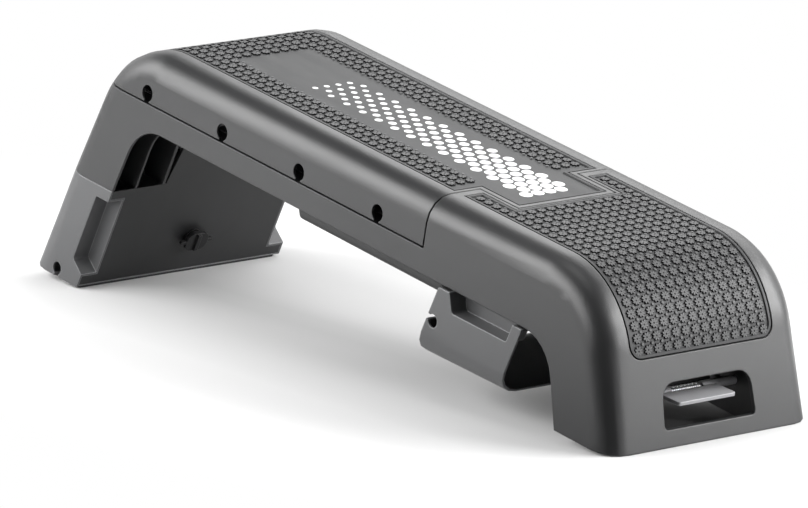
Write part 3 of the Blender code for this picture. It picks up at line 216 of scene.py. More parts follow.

# %% [markdown]
# ## Soft edges
#
# A moulding has no sharp edges: each is rounded by half a millimetre or more, and catches the light as a thin pale
# rim. Real rounding on every edge would cost many faces, so the shading does it: a Bevel node averages the normal
# round a point, and where that differs from the true normal there is an edge. There the base colour is made paler,
# partly as wear from handling and partly as a painted highlight of the rounded rim.

# %% Build the edge group
BEVEL_SAMPLES = 6
edge_tree, wants, gives = new_group(
    "rounded_edge",
    "ShaderNodeTree",
    [("Radius", "Float", 0.001), ("Gain", "Float", 3.4)],
    [("Normal", "Vector"), ("Rim", "Float")],
)
bevel = add(edge_tree, "ShaderNodeBevel", {"Radius": wants["Radius"]}, samples=BEVEL_SAMPLES)
true_normal = add(edge_tree, "ShaderNodeNewGeometry").outputs["Normal"]
agree = calc_vector(edge_tree, "DOT_PRODUCT", bevel.outputs[0], true_normal)
rim = calc(edge_tree, "MULTIPLY", calc(edge_tree, "SUBTRACT", 1.0, agree), wants["Gain"])
rim = add(edge_tree, "ShaderNodeClamp", {"Value": rim}).outputs[0]
edge_tree.links.new(bevel.outputs[0], gives["Normal"])
edge_tree.links.new(rim, gives["Rim"])
print("edge group:", len(edge_tree.nodes), "nodes")

# %% [markdown]
# ## Plastics and rubbers
#
# Every moulding gets the same recipe: a base colour that wanders a little, paler rims that are partly wear and partly
# a painted highlight, a satin roughness broken by the streaks of the melt, and the pebble grain as a bump over the
# rounded edges. The sizes and amounts differ.

# %% Write the recipe for a moulding
SMOOTHER, ROUGHER = 0.05, 0.07
PALE_RIM_LIFT = 0.02


def moulding(
    name, colour, roughness, grain=0.0008, bump=0.0001, rim=0.5, edge=0.0012, wander=0.10, pale=1.6
):
    """A moulded plastic or rubber. Returns the material, its tree, its shader and the colour so far."""
    look = bpy.data.materials.new(name)
    look.use_nodes = True
    tree = look.node_tree
    shader = tree.nodes["Principled BSDF"]
    place = add(tree, "ShaderNodeTexCoord").outputs["Object"]
    skin = add(tree, "ShaderNodeGroup", node_tree=grain_tree)
    tree.links.new(place, skin.inputs["Place"])
    skin.inputs["Grain Size"].default_value = grain
    edges = add(tree, "ShaderNodeGroup", node_tree=edge_tree)
    edges.inputs["Radius"].default_value = edge
    darker = [c * (1 - wander) for c in colour] + [1]
    lighter = [c * (1 + wander) for c in colour] + [1]
    tone = mix(tree, skin.outputs["Cloud"], darker, lighter)
    # Pale rims: partly wear from handling, partly a painted highlight of the rounded edges.
    pale_rim_colour = [min(1.0, c * pale + PALE_RIM_LIFT) for c in colour] + [1]
    with_pale_rims = mix(tree, calc(tree, "MULTIPLY", edges.outputs["Rim"], rim), tone, pale_rim_colour)
    tree.links.new(with_pale_rims, shader.inputs["Base Color"])
    gloss = ramp(tree, skin.outputs["Streak"], 0.0, 1.0, roughness - SMOOTHER, roughness + ROUGHER)
    tree.links.new(gloss, shader.inputs["Roughness"])
    relief = {"Height": skin.outputs["Height"], "Normal": edges.outputs["Normal"], "Distance": bump}
    relief = add(tree, "ShaderNodeBump", {**relief, "Strength": 1.0}).outputs[0]
    tree.links.new(relief, shader.inputs["Normal"])
    return look, tree, shader, with_pale_rims


print("each moulding uses", grain_tree.name, "and", edge_tree.name)

# %% [markdown]
# ### The six mouldings
#
# The deck and its panels are near black, the leg shells a dark grey whose edges are plainly pale, partly rubbed and
# partly a painted highlight, and the latch paddles a light grey, made lighter still as painted light because they sit
# in the dark. The small latch parts sit in shade behind the hand hole, so they are the darkest and mirror little.
# The pads under the feet are dull rubber. One call of the recipe makes each.

# %% Mix the plastics and the rubber of the feet
deck_plastic = moulding("deck_moulding", (0.022, 0.0223, 0.0231), 0.37, edge=0.0018)[0]
leg_plastic = moulding(
    "leg_moulding", (0.077, 0.078, 0.080), 0.37, rim=0.8, edge=0.0026, pale=3.2
)[0]
panel_plastic = moulding("panel_moulding", (0.014, 0.0142, 0.0148), 0.42)[0]
latch_plastic, _, latch_shader, _ = moulding("latch_moulding", (0.006, 0.006, 0.0065), 0.30, rim=0.6)
latch_shader.inputs["Specular IOR Level"].default_value = 0.30
foot_rubber = moulding("foot_pad_rubber", (0.018, 0.018, 0.019), 0.72, grain=0.0012)[0]
# Painted light: the paddles are a light grey made lighter still, because they sit in the dark behind the hand hole.
lightened_paddle_plastic = moulding(
    "paddle_moulding", (0.30, 0.30, 0.31), 0.35, rim=1.0, edge=0.0015, pale=2.0
)[0]
mouldings = (deck_plastic, leg_plastic, panel_plastic, latch_plastic, foot_rubber, lightened_paddle_plastic)
print("plastics and rubber:", [look.name for look in mouldings])

# %% [markdown]
# ## Bright steel
#
# The rods, the prop wire and the springs are drawn steel: metal with fine scratches along the wire. A stretched
# noise in the roughness gives them.

# %% Mix the steel
SCRATCH_STRETCH, SCRATCHES_TO_A_METRE = (1.0, 0.03, 1.0), 2500.0
POLISHED, SCRATCHED, SCRATCH_TONE = 0.08, 0.12, 0.85


def drawn_steel(name, colour, roughness):
    """Metal with fine scratches along y, the way that every rod and wire here runs."""
    look = bpy.data.materials.new(name)
    look.use_nodes = True
    tree = look.node_tree
    shader = tree.nodes["Principled BSDF"]
    shader.inputs["Metallic"].default_value = 1.0
    place = add(tree, "ShaderNodeTexCoord").outputs["Object"]
    along = add(tree, "ShaderNodeMapping", {"Vector": place, "Scale": SCRATCH_STRETCH}).outputs[0]
    lines = noise(tree, along, SCRATCHES_TO_A_METRE, 3.0)
    gloss = ramp(tree, lines, 0.0, 1.0, roughness - POLISHED, roughness + SCRATCHED)
    tree.links.new(gloss, shader.inputs["Roughness"])
    tint = mix(tree, lines, [c * SCRATCH_TONE for c in colour] + [1], [*colour, 1])
    tree.links.new(tint, shader.inputs["Base Color"])
    return look


rod_steel = drawn_steel("drawn_steel", (0.62, 0.63, 0.64), 0.30)
print("steel:", rod_steel.name)

# %% [markdown]
# ## The print on the back mat
#
# The smooth panel down the middle of the back mat carries a plain white print of its own: rows of discs that shrink
# towards the far end, like a coarse halftone. It could be a picture, but a rule drawn by nodes stays sharp at any
# distance. The rule finds the row and column that a point lies in, every other row shifted by half a disc, and how
# far it is from that cell's middle. Closer than the disc's radius there means ink.

# %% Build the print group
PRINT_NEAR, PRINT_FAR, PRINT_HALF, PRINT_PITCH = -0.352, -0.800, 0.048, 0.0192
ROW_SHARE = 0.866
DISC_NEAR, DISC_FAR, DISC_MARGIN = 0.46, 0.20, 0.4
print_tree, wants, gives = new_group(
    "disc_print",
    "ShaderNodeTree",
    [
        ("Place", "Vector"),
        ("Pitch", "Float", PRINT_PITCH),
        ("Near", "Float", PRINT_NEAR),
        ("Far", "Float", PRINT_FAR),
        ("Half Width", "Float", PRINT_HALF),
    ],
    [("Ink", "Float")],
)
tree, pitch, near, far = print_tree, wants["Pitch"], wants["Near"], wants["Far"]
spot = split(tree, wants["Place"])
row_pitch = calc(tree, "MULTIPLY", pitch, ROW_SHARE)
row = calc(tree, "DIVIDE", calc(tree, "SUBTRACT", near, spot["X"]), row_pitch)
row_number = calc(tree, "FLOOR", row)
shift = calc(tree, "MULTIPLY", calc(tree, "MODULO", row_number, 2.0), 0.5)
column = calc(tree, "DIVIDE", spot["Y"], pitch)
column = calc(tree, "ADD", column, calc(tree, "ADD", shift, 0.25))
column_number = calc(tree, "FLOOR", column)
across = calc(tree, "SUBTRACT", calc(tree, "SUBTRACT", column, column_number), 0.5)
along = calc(tree, "SUBTRACT", calc(tree, "SUBTRACT", row, row_number), 0.5)
along = calc(tree, "MULTIPLY", along, ROW_SHARE)
reach = distance(tree, across, along)
print("print group, up to the distance from a disc's middle:", len(tree.nodes), "nodes")

# %% Keep the print inside its field, with discs that shrink
rows_done = calc(tree, "MULTIPLY", calc(tree, "ADD", row_number, 0.5), row_pitch)
centre = calc(tree, "SUBTRACT", near, rows_done)
inside = calc(tree, "LESS_THAN", reach, ramp(tree, centre, near, far, DISC_NEAR, DISC_FAR))
column_centre = calc(tree, "SUBTRACT", calc(tree, "ADD", column_number, 0.25), shift)
column_centre = calc(tree, "MULTIPLY", column_centre, pitch)
widest = calc(tree, "SUBTRACT", wants["Half Width"], calc(tree, "MULTIPLY", pitch, DISC_MARGIN))
in_width = calc(tree, "LESS_THAN", calc(tree, "ABSOLUTE", column_centre), widest)
begun, unfinished = calc(tree, "GREATER_THAN", row, 0.0), calc(tree, "GREATER_THAN", centre, far)
in_length = calc(tree, "MULTIPLY", begun, unfinished)
ink = calc(tree, "MULTIPLY", inside, calc(tree, "MULTIPLY", in_width, in_length))
tree.links.new(ink, gives["Ink"])
print("print group:", len(print_tree.nodes), "nodes")

# %% [markdown]
# ## The tread's rubber
#
# The mats are moulded rubber, a little duller than the deck. Each rosette has a dimple in its middle and a ring of
# eight more round it, which are not modelled but painted as dark dots of shade; its root is darkened as painted
# shade, and its flat top is a little paler. All of these follow the rosette, so its geometry carries a map: the place
# across in radii as X and Y, and the height from root to top as Z. The material reads it as an attribute. A dimple or
# a root also mirrors less than the flat top does.

# %% Mix the tread's rubber
MAT_COLOUR, MAT_ROUGHNESS, MAT_GLOSS = (0.034, 0.0344, 0.0356), 0.50, 0.26
MAT_SKIN = {"grain": 0.0007, "bump": 0.00005, "rim": 0.25, "edge": 0.0005}
DIMPLES, DIMPLE_CUT, RING_REACH, RING_HALF, RING_SHADE = 8.0, 0.35, 0.50, 0.085, 0.6
CORE_REACH, TOP_FROM, ROOT_FULL, ROOT_GONE, UNMAPPED = 0.20, 0.98, 0.6, 0.97, 0.0001
TOP_PALER, CREVICE_SHADE, CREVICE_SHADE_GREY, CREVICE_GLOSS = 0.050, 0.85, 0.004, 0.03
mat_rubber, tree, shader, colour = moulding("tread_rubber", MAT_COLOUR, MAT_ROUGHNESS, **MAT_SKIN)
part = split(tree, add(tree, "ShaderNodeAttribute", attribute_name="tread_map").outputs["Vector"])
reach = distance(tree, part["X"], part["Y"])
turn = calc(tree, "MULTIPLY", calc(tree, "ARCTAN2", part["Y"], part["X"]), DIMPLES)
spoke = calc(tree, "GREATER_THAN", calc(tree, "COSINE", turn), DIMPLE_CUT)
ring = calc(tree, "ABSOLUTE", calc(tree, "SUBTRACT", reach, RING_REACH))
ring = calc(tree, "MULTIPLY", spoke, calc(tree, "LESS_THAN", ring, RING_HALF))
core = calc(tree, "LESS_THAN", reach, CORE_REACH)
dimple = calc(tree, "MAXIMUM", calc(tree, "MULTIPLY", ring, RING_SHADE), core)
top = calc(tree, "GREATER_THAN", part["Z"], TOP_FROM)
root = ramp(tree, part["Z"], ROOT_FULL, ROOT_GONE, 1.0, 0.0)
root = calc(tree, "MULTIPLY", root, calc(tree, "GREATER_THAN", reach, UNMAPPED))
# Painted shade: dark dots for the dimples, and dark roots for the rosettes and for the groove, where the map's X is
# one.
painted_crevice_shade = calc(tree, "MAXIMUM", calc(tree, "MULTIPLY", dimple, top), root)
paler_top = mix(tree, calc(tree, "MULTIPLY", top, TOP_PALER), colour, grey(1))
shade = mix(tree, calc(tree, "MULTIPLY", painted_crevice_shade, CREVICE_SHADE), paler_top, grey(CREVICE_SHADE_GREY))
tree.links.new(shade, shader.inputs["Base Color"])
shader.inputs["Specular IOR Level"].default_value = MAT_GLOSS
gloss = mix(tree, painted_crevice_shade, MAT_GLOSS, CREVICE_GLOSS, "FLOAT")
tree.links.new(gloss, shader.inputs["Specular IOR Level"])
print("tread rubber:", len(tree.nodes), "nodes")

# %% [markdown]
# ## The back mat's rubber
#
# It is the same rubber with the print on it. The print's rule works in the deck's frame, so a Mapping node turns
# Object coordinates back by the deck's slope. The groove round the mat is in deep shade, so the sheet marks it in its
# own map, with an X of one, and the material darkens it there as painted shade.

# %% Mix the printed rubber
INK_GREY, GROOVE_SHADE_GREY = 0.86, 0.002
printed_rubber, tree, shader, colour = moulding("printed_rubber", MAT_COLOUR, MAT_ROUGHNESS, **MAT_SKIN)
shader.inputs["Specular IOR Level"].default_value = MAT_GLOSS
turned_back = {
    "Vector": add(tree, "ShaderNodeTexCoord").outputs["Object"],
    "Location": deck.translation,
    "Rotation": (0, tilt, 0),
}
on_deck = add(tree, "ShaderNodeMapping", turned_back, vector_type="TEXTURE").outputs[0]
discs = add(tree, "ShaderNodeGroup", node_tree=print_tree)
tree.links.new(on_deck, discs.inputs["Place"])
inked = mix(tree, discs.outputs["Ink"], colour, grey(INK_GREY))
part = split(tree, add(tree, "ShaderNodeAttribute", attribute_name="tread_map").outputs["Vector"])
# Painted shade: the groove, where the map's X is one, is darkened.
in_groove = calc(tree, "GREATER_THAN", part["X"], UNMAPPED)
tree.links.new(mix(tree, in_groove, inked, grey(GROOVE_SHADE_GREY)), shader.inputs["Base Color"])
print("printed rubber:", len(tree.nodes), "nodes")

# %% [markdown]
# ## Finished copies of the mouldings
#
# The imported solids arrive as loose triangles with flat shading, so the round noses show their facets. A finished
# copy has its doubles merged, its shading smooth except over real edges, and its normals weighted by area so that
# flat walls stay flat. It replaces the solid in the picture and keeps its place and size exactly.

# %% Helpers that make a piece
bodies_of = {n: b for b, members in frame["record"]["behaviour"]["bodies"].items() for n in members}
slots_of = {s["node"]: s["material_slot"] for s in frame["record"]["subparts"]}


def as_piece(name, mesh, body, look, replaced=()):
    """Link a mesh as a piece at the origin, give it its material, parent it to the empty of the body that it rides
    on, and hide the solids that it replaces.
    """
    piece = bpy.data.objects.new(name, mesh)
    bpy.context.scene.collection.objects.link(piece)
    if look:
        mesh.materials.clear()
        mesh.materials.append(look)
    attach(piece, body)
    if replaced:
        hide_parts(*replaced)
    return piece


def carrier_for(mesh):
    """An object to hang modifiers on while a mesh is being made."""
    carrier = bpy.data.objects.new(mesh.name + "_carrier", mesh)
    bpy.context.scene.collection.objects.link(carrier)
    return carrier


def baked(carrier):
    """The evaluated shape of an object as a plain mesh. The carrier is removed."""
    bpy.context.view_layer.update()
    graph = bpy.context.evaluated_depsgraph_get()
    mesh = bpy.data.meshes.new_from_object(carrier.evaluated_get(graph))
    bpy.data.objects.remove(carrier)
    return mesh


print("slots in the record:", sorted(set(slots_of.values())))

# %% Helpers that merge and smooth a solid
DOUBLES_WITHIN, CREASE = 1e-5, math.radians(33.0)


def merged(node):
    """A clean editable copy of a solid: points and faces only, doubles merged."""
    source = frame["nodes"][node].data
    mesh = bpy.data.meshes.new(node + "_finished")
    mesh.from_pydata([v.co for v in source.vertices], [], [list(p.vertices) for p in source.polygons])
    form = bmesh.new()
    form.from_mesh(mesh)
    bmesh.ops.remove_doubles(form, verts=form.verts, dist=DOUBLES_WITHIN)
    return mesh, form


def smoothed(mesh, form):
    """Write the form back, smooth but for edges sharper than the crease, with area-weighted normals."""
    for face in form.faces:
        face.smooth = True
    for edge in form.edges:
        edge.smooth = len(edge.link_faces) == 2 and edge.calc_face_angle(0.0) < CREASE
    form.to_mesh(mesh)
    form.free()
    carrier = carrier_for(mesh)
    weigh = carrier.modifiers.new("weigh", "WEIGHTED_NORMAL")
    weigh.keep_sharp = True
    return baked(carrier)


print("edges stay sharp from", round(math.degrees(CREASE)), "degrees")

# %% Finish every rigid solid
LOOKS = {
    "deck_plastic": deck_plastic,
    "leg_plastic": leg_plastic,
    "panel_plastic": panel_plastic,
    "black_plastic": latch_plastic,
    "foot_rubber": foot_rubber,
    "rod_steel": rod_steel,
}
made_later = {"seat_mat", "backrest_mat", "near_paddle_spring", "far_paddle_spring"}
for node in sorted(set(frame["nodes"]) - made_later):
    mesh = smoothed(*merged(node))
    mesh.name = node + "_finished"
    look = lightened_paddle_plastic if node.endswith("_paddle") else LOOKS[slots_of[node]]
    as_piece(node + "_finished", mesh, bodies_of[node], look, [node])

# %% [markdown]
# ## Flat coordinates on the deck's skin
#
# Mats and treads follow the deck's outline from the side: flat on top, a wide round nose, then the end wall, which
# leans in. They are easiest to draw flat and then bend. A flat point is the distance along the skin from the start
# of the nose, the distance across, and the height over the skin. The far end is the near end's mirror image.

# %% Measure the side view's line
END_SLOPE, NOSE_RADIUS = 0.365, 0.131
wall_angle = math.atan(END_SLOPE)
wall_sin, wall_cos = math.sin(wall_angle), math.cos(wall_angle)
nose_turn = math.pi / 2 - wall_angle
nose_length = NOSE_RADIUS * nose_turn
nose_inset = (NOSE_RADIUS + (DECK_HEIGHT - NOSE_RADIUS) * wall_sin) / wall_cos
nose_centre = Vector((-nose_inset, DECK_HEIGHT - NOSE_RADIUS))
nose_end = nose_centre + NOSE_RADIUS * Vector((wall_cos, wall_sin))
print("the skin runs", round(1000 * nose_length, 1), "mm round the nose")


# %% Bend and unbend
def bend(along, across, over, mirrored):
    """From flat coordinates to a point of the deck's frame."""
    if along < 0:
        x, z = nose_centre.x + along, DECK_HEIGHT + over
    elif along < nose_length:
        angle = math.pi / 2 - along / NOSE_RADIUS
        x, z = nose_centre + (NOSE_RADIUS + over) * Vector((math.cos(angle), math.sin(angle)))
    else:
        left = along - nose_length
        x = nose_end.x + left * wall_sin + over * wall_cos
        z = nose_end.y - left * wall_cos + over * wall_sin
    return Vector((-DECK_LENGTH - x if mirrored else x, across, z))


def unbend(point, mirrored):
    """From a point of the deck's frame to flat coordinates."""
    x = -DECK_LENGTH - point.x if mirrored else point.x
    if x < nose_centre.x:
        return Vector((x - nose_centre.x, point.y, point.z - DECK_HEIGHT))
    ray = Vector((x, point.z)) - nose_centre
    turned = math.pi / 2 - math.atan2(ray.y, ray.x)
    if turned < nose_turn:
        return Vector((NOSE_RADIUS * turned, point.y, ray.length - NOSE_RADIUS))
    lower = Vector((x, point.z)) - nose_end
    left = lower.x * wall_sin - lower.y * wall_cos
    return Vector((nose_length + left, point.y, lower.x * wall_cos + lower.y * wall_sin))


trials = ((-0.1, 0.05, 0.001), (0.08, 0, -0.002), (0.2, 0, 0.001))
misses = [(unbend(bend(*flat, False), False) - Vector(flat)).length for flat in trials]
print("bending and unbending agree to", round(1e6 * max(misses), 3), "micrometres")

# %% [markdown]
# ## The mats' sheets
#
# Each mat is a rubber sheet let into the deck. Its edge falls away, so a dark groove runs round it, and the sheet's
# map has an X of one there, which both rubbers darken as painted shade. Then comes a narrow flat border, inside which
# the ground steps down by the tread's height, so that nothing stands proud. The outline is read off the imported mat,
# unbent, so the two always agree. The insets are made while it is flat, then the sheet is cut into narrow strips over
# the nose and bent.

# %% Read a mat's outline
ON_THE_SKIN, STRAIGHT = 0.0006, 0.01


def corners_of(loop):
    """The points of a flat loop without those on a straight line between their neighbours."""
    kept = []
    for i, point in enumerate(loop):
        arriving = (point - loop[i - 1]).normalized()
        leaving = (loop[(i + 1) % len(loop)] - point).normalized()
        if abs(arriving.cross(leaving)) > STRAIGHT:
            kept.append(point)
    return kept


def flat_outline(node, mirrored):
    """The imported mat's outline as a loop of flat points."""
    mesh, form = merged(node)
    back = deck.inverted()
    over = {v: unbend(back @ v.co, mirrored).z for v in form.verts}
    top = {f for f in form.faces if all(abs(over[v]) < ON_THE_SKIN for v in f.verts)}
    brink = {v: [] for v in form.verts}
    for edge in form.edges:
        if sum(f in top for f in edge.link_faces) == 1:
            a, b = edge.verts
            brink[a].append(b)
            brink[b].append(a)
    start = next(v for v in form.verts if brink[v])
    loop, last, here = [start], None, start
    while True:
        step = next(v for v in brink[here] if v is not last)
        if step is start:
            break
        last, here = here, step
        loop.append(here)
    flat = [unbend(back @ v.co, mirrored).xy for v in loop]
    form.free()
    bpy.data.meshes.remove(mesh)
    return corners_of(flat)


print("points within", 1000 * ON_THE_SKIN, "mm of the skin count as the mat's top")

# %% Make a mat's sheet
THICKNESS, GROOVE, GROOVE_SHARE, ROUNDED = 0.0020, 0.0011, 0.95, 0.0004
BORDER, STEP_DOWN, STEP_WIDTH = 0.0050, 0.0018, 0.0004
NOSE_CUTS, CUT_SNAP = 36, 1e-6


def outward(mesh):
    """Turn a closed mesh's faces out if its signed volume says that they point in."""
    volume = 0.0
    mesh.calc_loop_triangles()
    for t in mesh.loop_triangles:
        a, b, c = (mesh.vertices[i].co for i in t.vertices)
        volume += a.dot(b.cross(c)) / 6
    if volume < 0:
        mesh.flip_normals()
    return volume


def inset(form, face, width):
    """Draw a face in by a width. New faces fill the strip round it."""
    bmesh.ops.inset_region(form, faces=[face], thickness=width, use_even_offset=True, use_boundary=True)


def drawn_flat(outline):
    """A closed flat sheet with its groove, its border and its sunken ground. Its top is at z = 0."""
    form = bmesh.new()
    groove_map = form.verts.layers.float_vector.new("tread_map")
    face = form.faces.new([form.verts.new((p.x, p.y, 0)) for p in outline])
    form.normal_update()
    if face.normal.z < 0:
        face.normal_flip()
    brink = list(face.verts)
    inset(form, face, GROOVE)
    # The groove's map marks it for painted shade.
    for vertex in brink + list(face.verts):
        vertex.co.z = -GROOVE_SHARE * THICKNESS
        vertex[groove_map] = (1, 0, 0)
    inset(form, face, ROUNDED)
    for vertex in face.verts:
        vertex.co.z = 0
        vertex[groove_map] = (0, 0, 0)
    inset(form, face, BORDER - ROUNDED - GROOVE)
    inset(form, face, STEP_WIDTH)
    for vertex in face.verts:
        vertex.co.z = -STEP_DOWN
    under = [form.verts.new((v.co.x, v.co.y, -THICKNESS)) for v in brink]
    for i, vertex in enumerate(brink):
        form.faces.new((brink[i - 1], under[i - 1], under[i], vertex))
    form.faces.new(under)
    return form


def mat_sheet(node, name, look, mirrored):
    """A mat's sheet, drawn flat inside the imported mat's outline and bent over the deck's skin."""
    outline = flat_outline(node, mirrored)
    form = drawn_flat(outline)
    for cut in range(NOSE_CUTS + 1):
        everything = form.verts[:] + form.edges[:] + form.faces[:]
        place = (nose_length * cut / NOSE_CUTS, 0, 0)
        bmesh.ops.bisect_plane(form, geom=everything, plane_co=place, plane_no=(1, 0, 0), dist=CUT_SNAP)
    for vertex in form.verts:
        vertex.co = deck @ bend(*vertex.co, mirrored)
    bmesh.ops.recalc_face_normals(form, faces=form.faces)
    open_edges = sum(len(e.link_faces) != 2 for e in form.edges)
    mesh = smoothed(bpy.data.meshes.new(name), form)
    mesh.name = name
    outward(mesh)
    print(name, "has", len(outline), "corners,", len(mesh.polygons), "faces,", open_edges, "open edges")
    return as_piece(name, mesh, bodies_of[node], look, [node])


mat_sheet("seat_mat", "seat_mat_sheet", mat_rubber, False)
mat_sheet("backrest_mat", "backrest_mat_sheet", printed_rubber, True)

# %% [markdown]
# ## The tread
#
# The mats carry rows of rosettes, small discs with eight round lobes, and a round stud in the middle of every four.
# There are over a thousand, so they are instances: Geometry Nodes lay a grid, bend it along the side view's line,
# leave out a bare rectangle, and put a rosette or a stud on each point, upright on the skin. Every size is an input
# of the tree, because both mats use it.

# %% Start the tread's tree
COLUMNS, PITCH = 14, 0.0158
ROSETTE_RADIUS, LOBE_DEPTH, STUD_RADIUS = 0.0066, 0.34, 0.0027
SINK = 0.0001
tread_tree, wants, gives = new_group(
    "tread_field",
    "GeometryNodeTree",
    [
        ("Line", "Geometry"),
        ("Rows", "Int", 10),
        ("Columns", "Int", COLUMNS),
        ("Pitch", "Float", PITCH),
        ("First Row", "Float", 0.01),
        ("Rosette Radius", "Float", ROSETTE_RADIUS),
        ("Lobe Depth", "Float", LOBE_DEPTH),
        ("Tread Height", "Float", STEP_DOWN),
        ("Stud Radius", "Float", STUD_RADIUS),
        ("Ground", "Float", -STEP_DOWN),
        ("Bare Half Width", "Float", 0.06),
        ("Bare From", "Float", -1.0),
        ("Bare To", "Float", 0.0),
        ("Rubber", "Material"),
    ],
    [("Tread", "Geometry")],
)
line = add(tread_tree, "GeometryNodeMeshToCurve", {"Mesh": wants["Line"]}).outputs[0]
print("the tread's tree has", len(wants) - 1, "inputs")


# %% Lay a grid along the line
def lay(fewer, shape, margin):
    """A grid with a few rows and columns fewer, bent along the line, with the shape upright on each point."""
    tree, pitch = tread_tree, wants["Pitch"]
    rows, columns = (calc(tree, "SUBTRACT", wants[side], fewer) for side in ("Rows", "Columns"))
    long, broad, whole = (
        calc(tree, "MULTIPLY", calc(tree, "SUBTRACT", count, 1), pitch) for count in (rows, columns, wants["Rows"])
    )
    sizes = {"Size X": long, "Size Y": broad, "Vertices X": rows, "Vertices Y": columns}
    grid = add(tree, "GeometryNodeMeshGrid", sizes).outputs["Mesh"]
    points = add(tree, "GeometryNodeMeshToPoints", {"Mesh": grid}).outputs[0]
    spot = split(tree, add(tree, "GeometryNodeInputPosition").outputs[0])
    along = calc(tree, "ADD", calc(tree, "MULTIPLY_ADD", whole, 0.5, wants["First Row"]), spot["X"])
    sample = add(tree, "GeometryNodeSampleCurve", {"Curves": line, "Length": along}, mode="LENGTH")
    place = split(tree, sample.outputs["Position"])
    heading = split(tree, sample.outputs["Tangent"])
    bare_half = calc(tree, "ADD", wants["Bare Half Width"], margin)
    bare_from = calc(tree, "SUBTRACT", wants["Bare From"], margin)
    bare_to = calc(tree, "ADD", wants["Bare To"], margin)
    width = calc(tree, "LESS_THAN", calc(tree, "ABSOLUTE", spot["Y"]), bare_half)
    start, stop = calc(tree, "GREATER_THAN", place["X"], bare_from), calc(tree, "LESS_THAN", place["X"], bare_to)
    bare = calc(tree, "MULTIPLY", width, calc(tree, "MULTIPLY", start, stop))
    bare = {"Geometry": points, "Selection": calc(tree, "GREATER_THAN", bare, 0.5)}
    kept = add(tree, "GeometryNodeDeleteGeometry", bare, domain="POINT").outputs[0]
    falling = calc(tree, "MULTIPLY", heading["Z"], -1.0)
    lean = add(tree, "ShaderNodeCombineXYZ", {"Y": calc(tree, "ARCTAN2", falling, heading["X"])}).outputs[0]
    turned = add(tree, "FunctionNodeEulerToRotation", {0: lean}).outputs[0]
    standing = {"Points": kept, "Instance": shape, "Rotation": turned}
    standing = add(tree, "GeometryNodeInstanceOnPoints", standing).outputs[0]
    lifted_x = calc(tree, "MULTIPLY_ADD", falling, wants["Ground"], place["X"])
    lifted_z = calc(tree, "MULTIPLY_ADD", heading["X"], wants["Ground"], place["Z"])
    there = add(tree, "ShaderNodeCombineXYZ", {"X": lifted_x, "Y": spot["Y"], "Z": lifted_z}).outputs[0]
    return add(tree, "GeometryNodeSetPosition", {"Geometry": standing, "Position": there}).outputs[0]


print("grid of the tread:", COLUMNS, "columns,", 1000 * PITCH, "mm apart")

# %% [markdown]
# ### A rosette and a stud
#
# A rosette starts as a circle of 24 points. Every third point is pulled in, which leaves eight lobes. It is raised
# in two steps, and the last is drawn in a little, so that its rim catches the light. The stud is a short cone. Both
# sink a tenth of a millimetre into the sheet, so that no gap shows under them, and both keep few faces, because there
# are so many.

# %% Shape a rosette
CIRCLE_POINTS, POINTS_TO_A_LOBE = 24, 3.0
RIM_HEIGHT, RIM_SHARE = 0.0003, 0.88
MEET_WITHIN = 1e-6


def stored(geometry, value):
    """Keep a map called tread_map on a shape: place across in radii, and height from root to top."""
    named = {"Geometry": geometry, "Name": "tread_map", "Value": value}
    kind = {"data_type": "FLOAT_VECTOR", "domain": "POINT"}
    return add(tread_tree, "GeometryNodeStoreNamedAttribute", named, **kind).outputs[0]


def raised(mesh, height, **selection):
    """Extrude faces by a height. The outputs are the mesh, the new tops and the new sides."""
    faces = {"Mesh": mesh, "Offset Scale": height, **selection}
    return add(tread_tree, "GeometryNodeExtrudeMesh", faces, mode="FACES").outputs


tree, radius = tread_tree, wants["Rosette Radius"]
disc = {"Vertices": CIRCLE_POINTS, "Radius": radius}
disc = add(tree, "GeometryNodeMeshCircle", disc, fill_type="NGON").outputs[0]
number = calc(tree, "MODULO", add(tree, "GeometryNodeInputIndex").outputs[0], POINTS_TO_A_LOBE)
valley = calc(tree, "LESS_THAN", number, 0.5)
pull = calc(tree, "SUBTRACT", 1.0, calc(tree, "MULTIPLY", valley, wants["Lobe Depth"]))
where = add(tree, "GeometryNodeInputPosition").outputs[0]
petal = add(tree, "ShaderNodeVectorMath", {0: where, "Scale": pull}, operation="SCALE").outputs[0]
disc = {"Geometry": disc, "Position": petal, "Offset": (0, 0, -SINK)}
disc = add(tree, "GeometryNodeSetPosition", disc).outputs[0]
wall = raised(disc, calc(tree, "ADD", wants["Tread Height"], SINK - RIM_HEIGHT))
cap = raised(wall["Mesh"], RIM_HEIGHT, Selection=wall["Top"])
domed = {"Geometry": cap["Mesh"], "Selection": cap["Top"], "Scale": RIM_SHARE}
domed = add(tree, "GeometryNodeScaleElements", domed, domain="FACE").outputs[0]
base = add(tree, "GeometryNodeFlipFaces", {"Mesh": disc}).outputs[0]
rosette = add(tree, "GeometryNodeJoinGeometry")
for piece in (domed, base):
    tree.links.new(piece, rosette.inputs[0])
closed = {"Geometry": rosette.outputs[0], "Distance": MEET_WITHIN}
rosette = add(tree, "GeometryNodeMergeByDistance", closed).outputs[0]
spread = {"X": radius, "Y": radius, "Z": wants["Tread Height"]}
spread = add(tree, "ShaderNodeCombineXYZ", spread).outputs[0]
where = add(tree, "GeometryNodeInputPosition").outputs[0]
rosette = stored(rosette, calc_vector(tree, "DIVIDE", where, spread))
print("tread tree with its rosette:", len(tree.nodes), "nodes")

